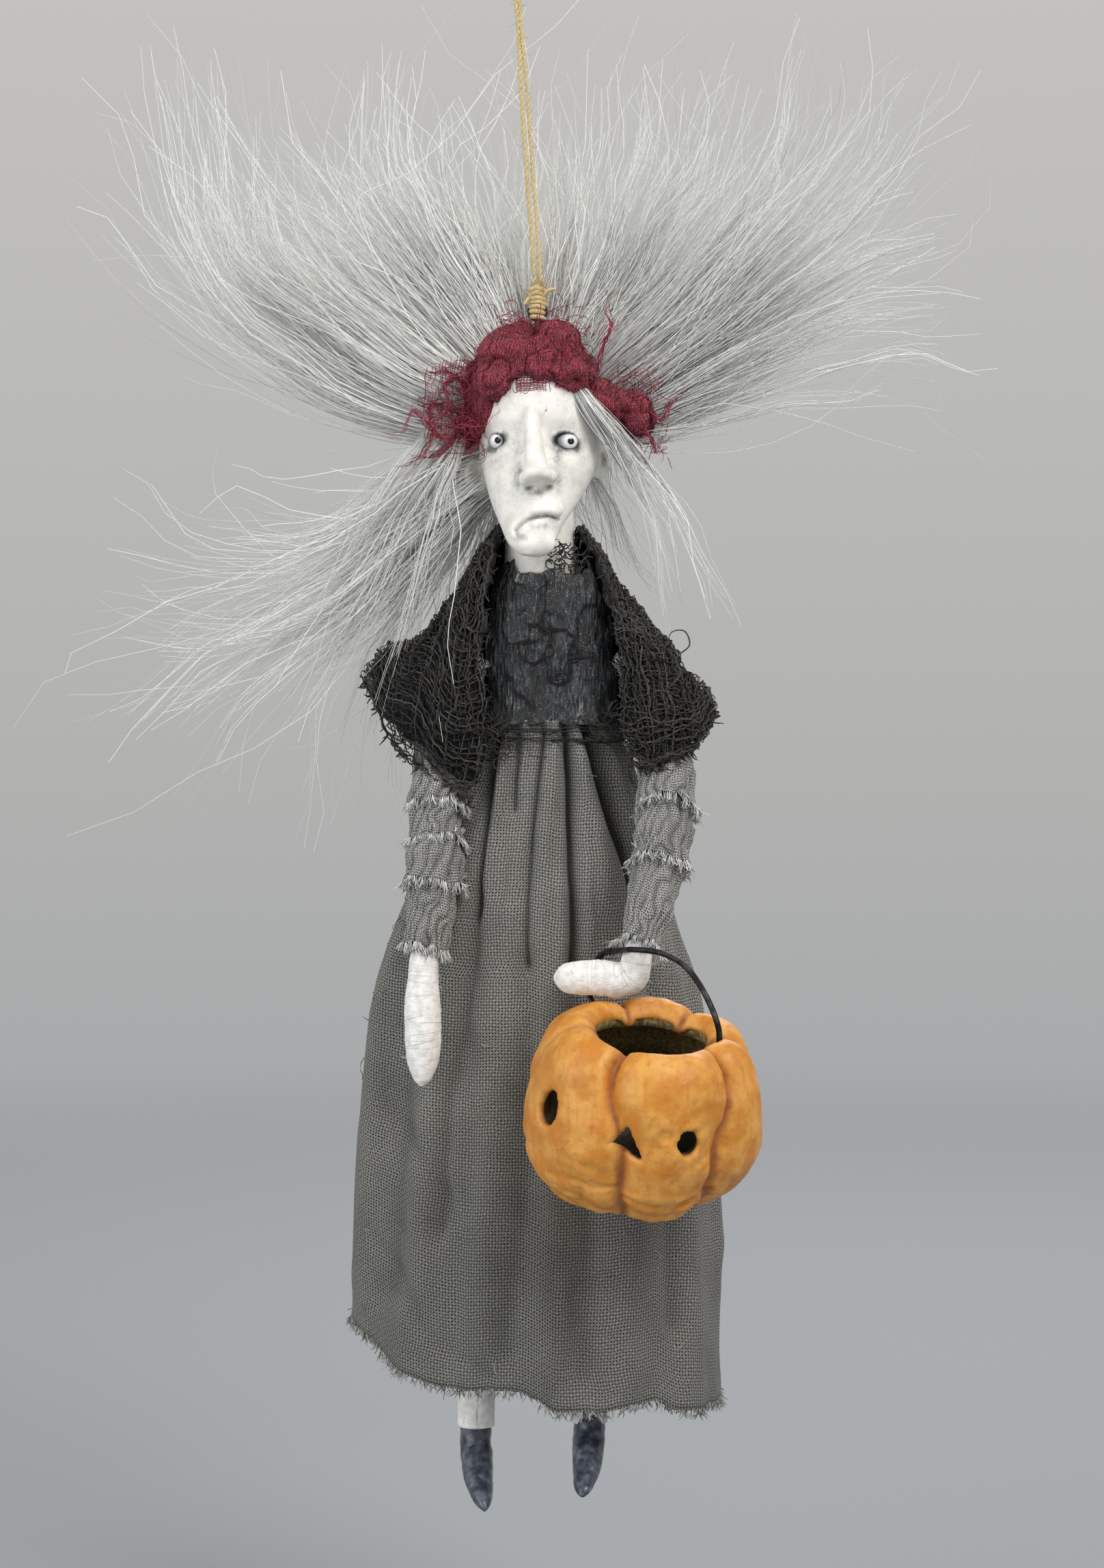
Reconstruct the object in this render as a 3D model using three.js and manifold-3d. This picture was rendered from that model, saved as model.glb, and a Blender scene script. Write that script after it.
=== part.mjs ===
// A cloth-dressed witch doll that hangs on a doubled twine, with a clay pumpkin lantern on one hand.
// Millimetres. +Z is up, the doll faces -Y, and the origin is where a hook bears in the twine's loop.
// Left and right are the viewer's.

import * as THREE from "three";
import { mergeVertices } from "three/addons/utils/BufferGeometryUtils.js";
import Module from "manifold-3d";

const wasm = await Module();
wasm.setup();

// Fits
const clearance = 0.3;
const clothLayer = 1.2;

// Hanging twine, its knot, and the wire eye in the crown
const twineDiameter = 0.9;
const strandGap = 0.3;
const crownDrop = 75.3;
const crownOffset = 4.8;
const loopWidth = 6;
const loopHeight = 11;
const knotDiameter = 2.8;
const eyeWire = 0.9;
const eyeRingRadius = 1.6;
const eyeStemLength = 6;

// Head
const headHeight = 46;
const headWidth = 24;
const headDepth = 27;
const headTurn = -5;
const headOffset = 0.4;
const noseReach = 9;
const noseWidth = 5.2;
const nostrilRadius = 1.9;
const eyeballRadius = 2;
const neckRadius = 6.8;
const neckDrop = 49;

// Torso, and the dowel and wires through it
const dowelRadius = 2;
const dowelDepth = 8;
const torsoHeight = 46;
const torsoWidth = 21;
const torsoDepth = 13;
const torsoOffset = 2.6;
const bodiceHeight = 29;
const wireRadius = 0.9;
const shoulderDrop = 9.5;
const hipDrop = 42;
const limbEyeWidth = 2.6;
const wireEndRadius = 1.5;

// Arms
const armRadius = 2.4;
const shoulderEyeRadius = 3;
const handPinRadius = 0.8;
const handPinLength = 7;
const leftHandLength = 27;
const leftHandWidth = 7.6;
const rightHandLength = 17.4;
const rightHandHeight = 6.6;
const handDepth = 6;

// Legs and boots
const legLength = 123;
const legRadius = 3.5;
const hipEyeRadius = 2.8;
const pegLength = 3;
const pegRadius = 1.5;
const bootHeight = 14.4;
const bootReach = 15;

// Skirt
const skirtHeight = 132;
const skirtHemWidth = 72;
const skirtHemDepth = 42;
const foldDepth = 1.1;
const foldCount = 11;
const hemLift = 13;

// Pumpkin lantern and its bail
const pumpkinRadius = 21.6;
const pumpkinHeight = 38;
const pumpkinMouth = 17.2;
const pumpkinWall = 2.9;
const pumpkinLean = 24;
const pumpkinRoll = 6;
const grooveDepth = 2.2;
const bailWire = 1.1;
const bailHoleRadius = 1.35;
const bailEndRadius = 1.5;
const bailEndDepth = 6.8;
const bailRise = 11.4;
const lanternDrop = pumpkinHeight / 2 + bailRise;

const Y = new THREE.Vector3(0, 1, 0);
const Z = new THREE.Vector3(0, 0, 1);
const vec = (x, y, z) => new THREE.Vector3(x, y, z);
const degrees = THREE.MathUtils.degToRad;

// Placement of the main pieces
const crown = vec(crownOffset, 0.5, -crownDrop);
const headAt = vec(crown.x + headOffset, 0, crown.z);
const neckBase = headAt.z - neckDrop;
const torsoTop = neckBase - clearance;
const torsoX = crownOffset + torsoOffset;
const shoulderZ = torsoTop - shoulderDrop;
const hipZ = torsoTop - hipDrop;
const bodiceBottom = torsoTop - bodiceHeight;
const bodiceHalfWidth = torsoWidth / 2 + clearance + clothLayer;
const skirtTop = bodiceBottom - clearance;

// Smooth values of a profile's columns at one place, on a curve through its rows.
function sample(rows, place) {
  const last = rows.length - 1;
  let row = 0;
  while (row < last - 1 && place > rows[row + 1][0]) row += 1;
  const span = rows[row + 1][0] - rows[row][0];
  const share = THREE.MathUtils.clamp((place - rows[row][0]) / span, 0, 1);
  const slope = (index, column) => {
    const low = rows[Math.max(index - 1, 0)];
    const high = rows[Math.min(index + 1, last)];
    return ((high[column] - low[column]) / (high[0] - low[0])) * span;
  };
  const square = share * share;
  const cube = square * share;
  return rows[row].slice(1).map((value, index) => {
    const column = index + 1;
    return (
      (2 * cube - 3 * square + 1) * value +
      (cube - 2 * square + share) * slope(row, column) +
      (3 * square - 2 * cube) * rows[row + 1][column] +
      (cube - square) * slope(row + 1, column)
    );
  });
}

// Closed geometry from points and triangles, turned right side out.
function closed(points, triangles) {
  let volume = 0;
  for (const [a, b, c] of triangles) {
    volume += points[a].dot(points[b].clone().cross(points[c]));
  }
  const index = triangles.flatMap(([a, b, c]) => (volume > 0 ? [a, b, c] : [a, c, b]));
  const geometry = new THREE.BufferGeometry().setFromPoints(points);
  geometry.setIndex(index);
  return geometry;
}

// Two triangles for each cell between neighbouring rings.
function band(triangles, lower, upper, count) {
  for (let side = 0; side < count; side += 1) {
    const next = (side + 1) % count;
    triangles.push([lower + side, lower + next, upper + next]);
    triangles.push([lower + side, upper + next, upper + side]);
  }
}

// Solid through rings of equal count, closed at each end by a fan about an end point.
function loft(rings, ends = [null, null]) {
  const count = rings[0].length;
  const points = rings.flat();
  const triangles = [];
  for (let ring = 0; ring + 1 < rings.length; ring += 1) {
    band(triangles, ring * count, (ring + 1) * count, count);
  }
  [rings[0], rings[rings.length - 1]].forEach((ring, end) => {
    const centre = ring.reduce((sum, point) => sum.add(point), vec(0, 0, 0)).divideScalar(count);
    points.push(ends[end] ?? centre);
    const start = end * (rings.length - 1) * count;
    for (let side = 0; side < count; side += 1) {
      const pair = [start + side, start + ((side + 1) % count)];
      triangles.push([points.length - 1, ...(end ? pair : pair.reverse())]);
    }
  });
  return closed(points, triangles);
}

// Open-ended wall between an outer and an inner list of rings.
function shell(outer, inner) {
  const rings = [...outer, ...inner.slice().reverse()];
  const count = rings[0].length;
  const triangles = [];
  rings.forEach((ring, index) => {
    band(triangles, index * count, ((index + 1) % rings.length) * count, count);
  });
  return closed(rings.flat(), triangles);
}

// Thick sheet between two grids of points with the same rows and columns.
function sheet(outer, inner) {
  const rows = outer.length;
  const columns = outer[0].length;
  const points = [...outer.flat(), ...inner.flat()];
  const under = rows * columns;
  const at = (row, column) => row * columns + column;
  const triangles = [];
  const quad = (a, b, c, d) => triangles.push([a, b, c], [a, c, d]);
  for (let row = 0; row + 1 < rows; row += 1) {
    for (let column = 0; column + 1 < columns; column += 1) {
      const corners = [at(row, column), at(row, column + 1), at(row + 1, column + 1), at(row + 1, column)];
      quad(...corners);
      quad(...corners.reverse().map((corner) => corner + under));
    }
    for (const [column, a, b] of [[0, row, row + 1], [columns - 1, row + 1, row]]) {
      quad(at(a, column), at(b, column), at(b, column) + under, at(a, column) + under);
    }
  }
  for (let column = 0; column + 1 < columns; column += 1) {
    for (const [row, a, b] of [[0, column + 1, column], [rows - 1, column, column + 1]]) {
      quad(at(row, a), at(row, b), at(row, b) + under, at(row, a) + under);
    }
  }
  return closed(points, triangles);
}

// Round ring of points in a level plane: half width along X, half depth along Y.
function levelRing(centre, halfWidth, halfDepth, sides) {
  return Array.from({ length: sides }, (_, side) => {
    const angle = (2 * Math.PI * side) / sides;
    return vec(centre.x + halfWidth * Math.sin(angle), centre.y - halfDepth * Math.cos(angle), centre.z);
  });
}

// Oval rings along a curve: rows give [share, half width, half thickness], the thickness lies along "thin".
function ovalRings(curve, rows, { sides = 10, steps = 12, from = 0, to = 1, thin = Y } = {}) {
  return Array.from({ length: steps + 1 }, (_, step) => {
    const share = from + ((to - from) * step) / steps;
    const centre = curve.getPoint(share);
    const ahead = curve.getTangent(share);
    const across = ahead.clone().cross(thin).normalize();
    const depth = across.clone().cross(ahead).normalize();
    const [halfWidth, halfThickness = halfWidth] = sample(rows, share);
    return Array.from({ length: sides }, (_, side) => {
      const angle = (2 * Math.PI * side) / sides;
      return centre
        .clone()
        .addScaledVector(across, halfWidth * Math.cos(angle))
        .addScaledVector(depth, halfThickness * Math.sin(angle));
    });
  });
}

const smooth = (points) => new THREE.CatmullRomCurve3(points);

// Round bar of one radius along a curve.
function bar(curve, radius, steps, sides = 8) {
  const section = new THREE.Shape();
  for (let side = 0; side < sides; side += 1) {
    const angle = (2 * Math.PI * side) / sides;
    const [x, y] = [radius * Math.cos(angle), radius * Math.sin(angle)];
    if (side) section.lineTo(x, y);
    else section.moveTo(x, y);
  }
  section.closePath();
  return new THREE.ExtrudeGeometry(section, { steps, extrudePath: curve, bevelEnabled: false });
}

const straight = (from, to) => new THREE.LineCurve3(from, to);
const rod = (from, to, radius, sides = 12) => bar(straight(from, to), radius, 1, sides);

function ball(centre, radii, sides = 10, rows = 6) {
  const geometry = new THREE.SphereGeometry(1, sides, rows);
  geometry.scale(radii.x, radii.y, radii.z);
  return geometry.translate(centre.x, centre.y, centre.z);
}

const round = (radius) => vec(radius, radius, radius);

function bare(geometry) {
  const plain = geometry.clone();
  plain.deleteAttribute("normal");
  plain.deleteAttribute("uv");
  return mergeVertices(plain, 1e-4);
}

function solid(geometry) {
  const plain = bare(geometry);
  const vertProperties = new Float32Array(plain.attributes.position.array);
  const triVerts = new Uint32Array(plain.index.array);
  return new wasm.Manifold(new wasm.Mesh({ numProp: 3, vertProperties, triVerts }));
}

function geometryOf(body) {
  const mesh = body.getMesh();
  const geometry = new THREE.BufferGeometry();
  geometry.setAttribute("position", new THREE.BufferAttribute(new Float32Array(mesh.vertProperties), 3));
  geometry.setIndex(new THREE.BufferAttribute(new Uint32Array(mesh.triVerts), 1));
  return geometry;
}

const joined = (...geometries) => geometries.map(solid).reduce((a, b) => a.add(b));
const without = (body, ...cutters) => cutters.reduce((rest, cutter) => rest.subtract(cutter), body);

// Edges shorter than this are taken out where a cut grazes a corner.
const sliver = 0.05;

// The largest of the bodies that a cut leaves.
function largest(body) {
  return body.decompose().sort((a, b) => b.volume() - a.volume())[0];
}

// Finishes: colour, roughness, metalness
const finishes = {
  twine: [0xcdb586, 0.9, 0],
  steel: [0x4a4a4c, 0.45, 1],
  clay: [0xd9d8d4, 0.7, 0],
  bead: [0xf2f2ee, 0.15, 0],
  hair: [0xccced2, 0.55, 0],
  scarf: [0x7c1a30, 0.85, 0],
  shawl: [0x2c2b2a, 0.95, 0],
  bodice: [0x272c31, 0.75, 0],
  linen: [0x696561, 0.9, 0],
  sleeve: [0x7d7a77, 0.9, 0],
  fibre: [0xdcdad6, 0.85, 0],
  wood: [0xb08d5e, 0.7, 0],
  boot: [0x30363f, 0.35, 0],
  pumpkin: [0xc8822a, 0.6, 0],
};

const doll = new THREE.Group();

function add(name, geometry, finish, parent = doll) {
  const [color, roughness, metalness] = finishes[finish];
  const material = new THREE.MeshStandardMaterial({ color, roughness, metalness });
  const mesh = new THREE.Mesh(geometry, material);
  mesh.name = name;
  parent.add(mesh);
  return mesh;
}

// Head: rows of [depth below the crown as a share of the height, side, front and back as shares of
// the half width and half depth, drift to the right in shares of the half width]
const headProfile = [
  [0.0, 0.1, -0.1, 0.18, 0],
  [0.03, 0.4, -0.36, 0.46, 0],
  [0.12, 0.72, -0.7, 0.82, 0],
  [0.25, 0.88, -0.87, 1.0, 0],
  [0.37, 0.94, -0.93, 1.04, 0],
  [0.485, 1.0, -0.86, 0.97, 0],
  [0.6, 0.95, -0.9, 0.8, 0],
  [0.68, 0.84, -0.93, 0.6, -0.02],
  [0.76, 0.7, -0.96, 0.34, -0.05],
  [0.87, 0.49, -1.02, -0.16, -0.07],
  [0.95, 0.35, -1.08, -0.5, -0.06],
  [1.0, 0.16, -1.0, -0.72, -0.05],
];
const turnOfHead = new THREE.Quaternion().setFromAxisAngle(Z, degrees(headTurn));

// Point of the head's surface: angle 0 is the face, 90 the viewer's right, 180 the back.
function headPoint(angle, depth, grow = 0) {
  const [side, front, rear, drift] = sample(headProfile, depth);
  const low = (front * headDepth) / 2 - grow;
  const high = (rear * headDepth) / 2 + grow;
  const halfWidth = (side * headWidth) / 2 + grow;
  const local = vec(
    (drift * headWidth) / 2 + halfWidth * Math.sin(degrees(angle)),
    (low + high) / 2 - ((high - low) / 2) * Math.cos(degrees(angle)),
    -depth * headHeight,
  );
  return local.applyQuaternion(turnOfHead).add(headAt);
}

// A place given from the middle of the face's plane: right, forward of the head's axis, below the crown.
function facePoint(right, forward, below) {
  return vec(right, -forward, -below).applyQuaternion(turnOfHead).add(headAt);
}

const skullDepths = [
  0, 0.03, 0.08, 0.15, 0.25, 0.35, 0.43, 0.5, 0.57, 0.63, 0.68, 0.74, 0.8, 0.87, 0.93, 0.98, 1,
];
const skullSides = 26;

function skull(grow) {
  const rings = skullDepths.map((depth) =>
    Array.from({ length: skullSides }, (_, side) => headPoint((360 * side) / skullSides, depth, grow)),
  );
  const top = headPoint(0, 0, grow).add(headPoint(180, 0, grow)).multiplyScalar(0.5);
  const chin = headPoint(0, 1, grow).add(headPoint(180, 1, grow)).multiplyScalar(0.5);
  return loft(rings, [top.add(vec(0, 0, grow)), chin.add(vec(0, 0, -0.4 - grow))]);
}

const neckTop = headAt.z - 0.6 * headHeight;
const neck = (grow) => {
  const foot = vec(headAt.x, 1.5, neckBase - grow);
  return rod(foot, vec(headAt.x, 2, neckTop), neckRadius + grow, 18);
};

const noseRoot = 0.37 * headHeight;
const noseTip = 0.675 * headHeight;
const faceFront = 0.43 * headDepth;

function nose() {
  const route = [
    facePoint(-1.4, faceFront - 1.5, noseRoot),
    facePoint(-0.3, faceFront + 0.14 * noseReach, (noseRoot + noseTip) / 2 - 0.6),
    facePoint(1.2, faceFront + 0.55 * noseReach, noseTip - 2.6),
    facePoint(1.5, faceFront + 0.97 * noseReach, noseTip),
  ];
  const rows = [
    [0, 0.24 * noseWidth, 1.6],
    [0.35, 0.34 * noseWidth, 2.6],
    [0.65, 0.5 * noseWidth, 3.2],
    [0.88, 0.42 * noseWidth, 1.9],
    [1, 0.16 * noseWidth, 0.6],
  ];
  return loft(ovalRings(smooth(route), rows, { sides: 10, steps: 8 }));
}

const nostrils = [-1, 1].map((side) =>
  ball(facePoint(1 + side * 2, faceFront + 0.2 * noseReach, noseTip - 1.4), round(nostrilRadius), 10, 6),
);

const ears = [
  ball(facePoint(-headWidth / 2 + 0.2, -1.5, 0.64 * headHeight), vec(2.8, 1.5, 3.5)),
  ball(facePoint(headWidth / 2 - 0.2, -1.5, 0.575 * headHeight), vec(2.4, 1.5, 4.8)),
];

const eyeDepth = 0.52 * headHeight;
const eyes = {
  eye_left: facePoint(-0.6 * headWidth / 2 - 0.7, 0.33 * headDepth, eyeDepth - 0.4),
  eye_right: facePoint(0.6 * headWidth / 2 - 0.4, 0.33 * headDepth, eyeDepth),
};

const dowelX = headAt.x;
const dowelY = 1.5;
const dowelTop = neckBase + dowelDepth;
const dowelBottom = torsoTop - dowelDepth;
const eyeRingZ = crown.z + clearance + eyeRingRadius + eyeWire / 2 + 0.2;

function dowelHole() {
  const low = vec(dowelX, dowelY, dowelBottom - clearance);
  return solid(rod(low, vec(dowelX, dowelY, dowelTop + clearance), dowelRadius + clearance, 16));
}

const belowCrown = (drop) => crown.clone().add(vec(0, 0, -drop));
const head = without(
  joined(skull(0), neck(0), nose(), ...nostrils, ...ears),
  dowelHole(),
  solid(rod(belowCrown(eyeStemLength), belowCrown(-3), eyeWire / 2 + clearance + 0.1, 10)),
  ...Object.values(eyes).map((place) => solid(ball(place, round(eyeballRadius + clearance)))),
);
add("head", geometryOf(head), "clay");
for (const [name, place] of Object.entries(eyes)) {
  add(name, ball(place, round(eyeballRadius)), "bead");
}
const headGrown = joined(skull(clearance), neck(clearance), ...ears);
const dowel = rod(vec(dowelX, dowelY, dowelBottom), vec(dowelX, dowelY, dowelTop), dowelRadius, 16);
add("neck_dowel", dowel, "wood");

// Wire eye in the crown, the twine's knot on it, and the doubled twine with its loop
const eyeRing = new THREE.TorusGeometry(eyeRingRadius, eyeWire / 2, 6, 14);
eyeRing.rotateX(Math.PI / 2).translate(crown.x, crown.y, eyeRingZ);
const stemFoot = belowCrown(eyeStemLength - clearance);
const eyeStem = rod(stemFoot, vec(crown.x, crown.y, eyeRingZ - eyeRingRadius), eyeWire / 2, 8);
add("crown_eye", geometryOf(joined(eyeRing, eyeStem)), "steel");

const knotAt = vec(crown.x, crown.y, eyeRingZ + eyeRingRadius + eyeWire / 2 + clearance + knotDiameter / 2);
add("twine_knot", ball(knotAt, vec(0.55 * knotDiameter, 0.45 * knotDiameter, knotDiameter / 2)), "twine");

const twineFoot = knotAt.clone().add(vec(0, 0, knotDiameter / 2 + clearance));
const strandOffset = (twineDiameter + strandGap) / 2;
const loopTop = twineDiameter / 2;

function twineStrand(side) {
  const throat = twineFoot.clone().multiplyScalar(loopHeight / -twineFoot.z);
  const foot = twineFoot.clone().add(vec(side * strandOffset, 0, 0));
  const lower = foot.clone().add(vec(0, 0, twineDiameter));
  const straightPart = [0.33, 0.67].map((share) =>
    twineFoot.clone().lerp(throat, share).add(vec(side * strandOffset, 0, 0)),
  );
  return [
    foot,
    lower,
    ...straightPart,
    throat.clone().add(vec(side * strandOffset, 0, 0)),
    vec(side * 0.42 * loopWidth, 0, -0.52 * loopHeight),
    vec(side * 0.47 * loopWidth, 0, -0.25 * loopHeight),
  ];
}

const twineRoute = [...twineStrand(-1), vec(0, 0, loopTop), ...twineStrand(1).reverse()];
const twineCurve = new THREE.CatmullRomCurve3(twineRoute, false, "centripetal");
add("hanging_twine", bar(twineCurve, twineDiameter / 2, 48), "twine");

// Scarf: rows of [angle round the head, depth of its middle, half height, half thickness]
const scarfRows = [
  [-112, 0.36, 3.2, 1.2],
  [-88, 0.33, 6.0, 2.8],
  [-60, 0.26, 6.6, 3.2],
  [-32, 0.16, 6.8, 3.3],
  [-14, 0.15, 5.6, 2.6],
  [12, 0.14, 7.2, 3.6],
  [36, 0.19, 6.0, 2.8],
  [62, 0.27, 5.2, 2.7],
  [88, 0.33, 5.0, 3.4],
  [112, 0.35, 3.0, 1.2],
];

function scarfSolid(grow) {
  const steps = 26;
  const first = scarfRows[0][0] - grow * 3;
  const last = scarfRows[scarfRows.length - 1][0] + grow * 3;
  const rings = Array.from({ length: steps + 1 }, (_, step) => {
    const angle = first + ((last - first) * step) / steps;
    const [depth, halfHeight, halfThickness] = sample(scarfRows, angle);
    const centre = headPoint(angle, depth);
    const rise = headPoint(angle, depth - 0.04).sub(headPoint(angle, depth + 0.04)).normalize();
    const ahead = headPoint(angle + 2, depth).sub(headPoint(angle - 2, depth)).normalize();
    const outward = ahead.clone().cross(rise).normalize();
    return Array.from({ length: 8 }, (_, side) => {
      const turn = (2 * Math.PI * side) / 8;
      return centre
        .clone()
        .addScaledVector(rise, (halfHeight + grow) * Math.cos(turn))
        .addScaledVector(outward, 0.5 * halfThickness + (halfThickness + grow) * Math.sin(turn));
    });
  });
  return solid(loft(rings));
}

const twineSpaceRadius = 3.4;
const twineSpace = solid(rod(belowCrown(2), vec(crown.x, crown.y, -loopHeight), twineSpaceRadius));
add("head_scarf", geometryOf(largest(without(scarfSolid(0), headGrown, twineSpace))), "scarf");

// Hair: each lock is [route from the head's axis at half its height: right, back, up] and
// rows of [share of the route, half width, half thickness]
const hairLocks = {
  hair_top: {
    route: [[0, 6, 14], [0, 6.5, 26], [1, 7, 40], [1.5, 7, 53], [0, 7, 70]],
    rows: [[0, 9, 5], [0.25, 13, 5], [0.5, 18, 4.4], [0.75, 18, 3.2], [1, 6, 0.8]],
  },
  hair_upper_left_inner: {
    route: [[-4, 5, 8], [-14, 6, 24], [-28, 6, 41], [-38, 6, 54], [-43, 6, 70]],
    rows: [[0, 5, 4], [0.2, 8, 4.6], [0.5, 8.6, 4], [0.8, 6.4, 2.4], [1, 1.4, 0.7]],
  },
  hair_upper_left_outer: {
    route: [[-6, 5, 4], [-24, 5, 7], [-44, 4, 16], [-60, 3, 31], [-65, 3, 48], [-67, 3, 66]],
    rows: [[0, 5, 4], [0.2, 8.4, 4.6], [0.5, 10.5, 4], [0.75, 8.4, 2.8], [1, 1.4, 0.7]],
  },
  hair_lower_left_upper: {
    route: [[-6, 6, -1], [-24, 7, -7], [-42, 7, -20], [-57, 6, -26], [-71, 5, -25], [-81, 5, -22]],
    rows: [[0, 5, 3.6], [0.2, 7.4, 4.2], [0.5, 8, 3.6], [0.8, 4.6, 2.2], [1, 1, 0.6]],
  },
  hair_lower_left_lower: {
    route: [[-6, 9, -3], [-18, 12, -13], [-30, 12, -31], [-38, 11, -44], [-44, 10, -57], [-46, 10, -68]],
    rows: [[0, 5, 3], [0.2, 7, 3.6], [0.5, 7, 3.4], [0.8, 4, 2], [1, 0.9, 0.6]],
  },
  hair_upper_right_inner: {
    route: [[4, 5, 8], [13, 6, 22], [23, 6, 34], [34, 6, 50], [42, 6, 68]],
    rows: [[0, 5, 4], [0.2, 7.6, 4.6], [0.5, 8, 4], [0.8, 6, 2.4], [1, 1.4, 0.7]],
  },
  hair_upper_right_outer: {
    route: [[6, 5, 4], [20, 6, 13], [36, 6, 26], [52, 6, 39], [63, 6, 51], [70, 6, 64]],
    rows: [[0, 5, 4], [0.2, 7.8, 4.6], [0.5, 8.4, 4], [0.8, 6, 2.4], [1, 1.4, 0.7]],
  },
  hair_right: {
    route: [[6, 7, 0], [22, 8, 6], [37, 8, 12], [52, 8, 20], [66, 8, 26], [77, 8, 26]],
    rows: [[0, 4.6, 3.6], [0.2, 6.6, 4.2], [0.5, 6.8, 3.6], [0.8, 4.6, 2.2], [1, 1.2, 0.6]],
  },
  hair_side_right: {
    route: [[7, 4, 0], [16, 5, -1], [19.5, 6, -8], [23, 6, -16], [26, 6, -24]],
    rows: [[0, 3.6, 3], [0.4, 5, 3.2], [0.7, 4.8, 2.8], [1, 1.4, 0.7]],
  },
  hair_back: {
    route: [[0, 9, 17], [0, 14, 10], [0, 16.5, -2], [0, 15.5, -14], [0, 15, -26]],
    rows: [[0, 8, 2.4], [0.3, 12.5, 2.8], [0.6, 12.5, 3], [0.85, 9, 2.4], [1, 4, 1]],
    thin: vec(0, 0.85, 0.5),
  },
};
const hairCentre = headAt.clone().add(vec(0, 0, -headHeight / 2));

function lockSolid({ route, rows, thin = Y }, grow) {
  const curve = smooth(route.map(([right, behind, above]) => vec(right, behind, above).add(hairCentre)));
  const grown = rows.map(([share, width, thickness]) => [share, width + grow, thickness + grow]);
  return solid(loft(ovalRings(curve, grown, { sides: 8, steps: 9, thin })));
}

let taken = headGrown.add(scarfSolid(clearance)).add(twineSpace);
for (const [name, lock] of Object.entries(hairLocks)) {
  add(name, geometryOf(largest(without(lockSolid(lock, 0), taken))), "hair");
  taken = taken.add(lockSolid(lock, clearance));
}

// Torso core, with the wires that the arms and legs hang on
const hipShare = 0.7;

function torsoRings(grow) {
  const rows = [
    [0, 0.8 * torsoWidth / 2, 0.84 * torsoDepth / 2],
    [0.08, torsoWidth / 2, torsoDepth / 2],
    [0.35, 0.96 * torsoWidth / 2, torsoDepth / 2],
    [0.65, 0.78 * torsoWidth / 2, 0.92 * torsoDepth / 2],
    [1, hipShare * torsoWidth / 2, 0.8 * torsoDepth / 2],
  ];
  return [0, 0.04, 0.1, 0.35, 0.65, 0.85, 1].map((share) => {
    const [halfWidth, halfDepth] = sample(rows, share);
    const centre = vec(torsoX, 0, torsoTop - share * torsoHeight);
    return levelRing(centre, halfWidth + grow, halfDepth + grow, 16);
  });
}

const armInner = bodiceHalfWidth + clearance;
const armMiddle = armInner + limbEyeWidth / 2;
const armOuter = armInner + limbEyeWidth;
const hipInner = hipShare * torsoWidth / 2 + 0.5 + clearance;
const hipMiddle = hipInner + limbEyeWidth / 2;
const hipOuter = hipInner + limbEyeWidth;

// A wire across the torso, with an upset bead past each limb that keeps the limb on.
function crossWire(z, reach) {
  const end = reach + clearance + wireEndRadius;
  const middle = rod(vec(torsoX - end, 0, z), vec(torsoX + end, 0, z), wireRadius);
  const beads = [-1, 1].map((side) => ball(vec(torsoX + side * end, 0, z), round(wireEndRadius), 8, 5));
  return geometryOf(joined(middle, ...beads));
}

function wireHole(z, reach) {
  return solid(rod(vec(torsoX - reach, 0, z), vec(torsoX + reach, 0, z), wireRadius + clearance));
}

const torso = without(
  solid(loft(torsoRings(0))),
  dowelHole(),
  wireHole(shoulderZ, armOuter),
  wireHole(hipZ, hipOuter),
);
add("torso_core", geometryOf(torso), "wood");
add("shoulder_wire", crossWire(shoulderZ, armOuter), "steel");
add("hip_wire", crossWire(hipZ, hipOuter), "steel");

// Bodice, glued round the torso
function bodiceRings(grow) {
  return Array.from({ length: 6 }, (_, step) => {
    const share = step / 5;
    const z = torsoTop - share * bodiceHeight;
    const crinkle = grow > clearance ? 0.25 * Math.sin(step * 2.1) : 0;
    const taper = 1 - 0.03 * Math.sin(Math.PI * share);
    const halfWidth = taper * torsoWidth / 2 + grow + crinkle;
    const halfDepth = torsoDepth / 2 + grow + crinkle;
    return levelRing(vec(torsoX, 0, z), halfWidth, halfDepth, 20);
  });
}
const bodice = solid(shell(bodiceRings(clearance + clothLayer), bodiceRings(clearance)));
add("bodice", geometryOf(without(bodice, wireHole(shoulderZ, armOuter))), "bodice");

// Limbs: an eye round its wire, then a tapering bar along a route, and a pin or peg at the end
function limb({ route, radii, z, x, eyeRadius, pinRadius, pinLength }) {
  const curve = smooth(route);
  const eye = rod(vec(x - limbEyeWidth / 2, 0, z), vec(x + limbEyeWidth / 2, 0, z), eyeRadius, 12);
  const rows = radii.map((radius, index) => [index / (radii.length - 1), radius, radius]);
  const shaft = loft(ovalRings(curve, rows, { sides: 8, steps: 10 }));
  const end = curve.getPoint(1);
  const tip = end.clone().addScaledVector(curve.getTangent(1), pinLength);
  const start = end.clone().addScaledVector(curve.getTangent(1), -1);
  const body = joined(eye, shaft, rod(start, tip, pinRadius, 10));
  return geometryOf(without(body, wireHole(z, 3 * armOuter)));
}

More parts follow.
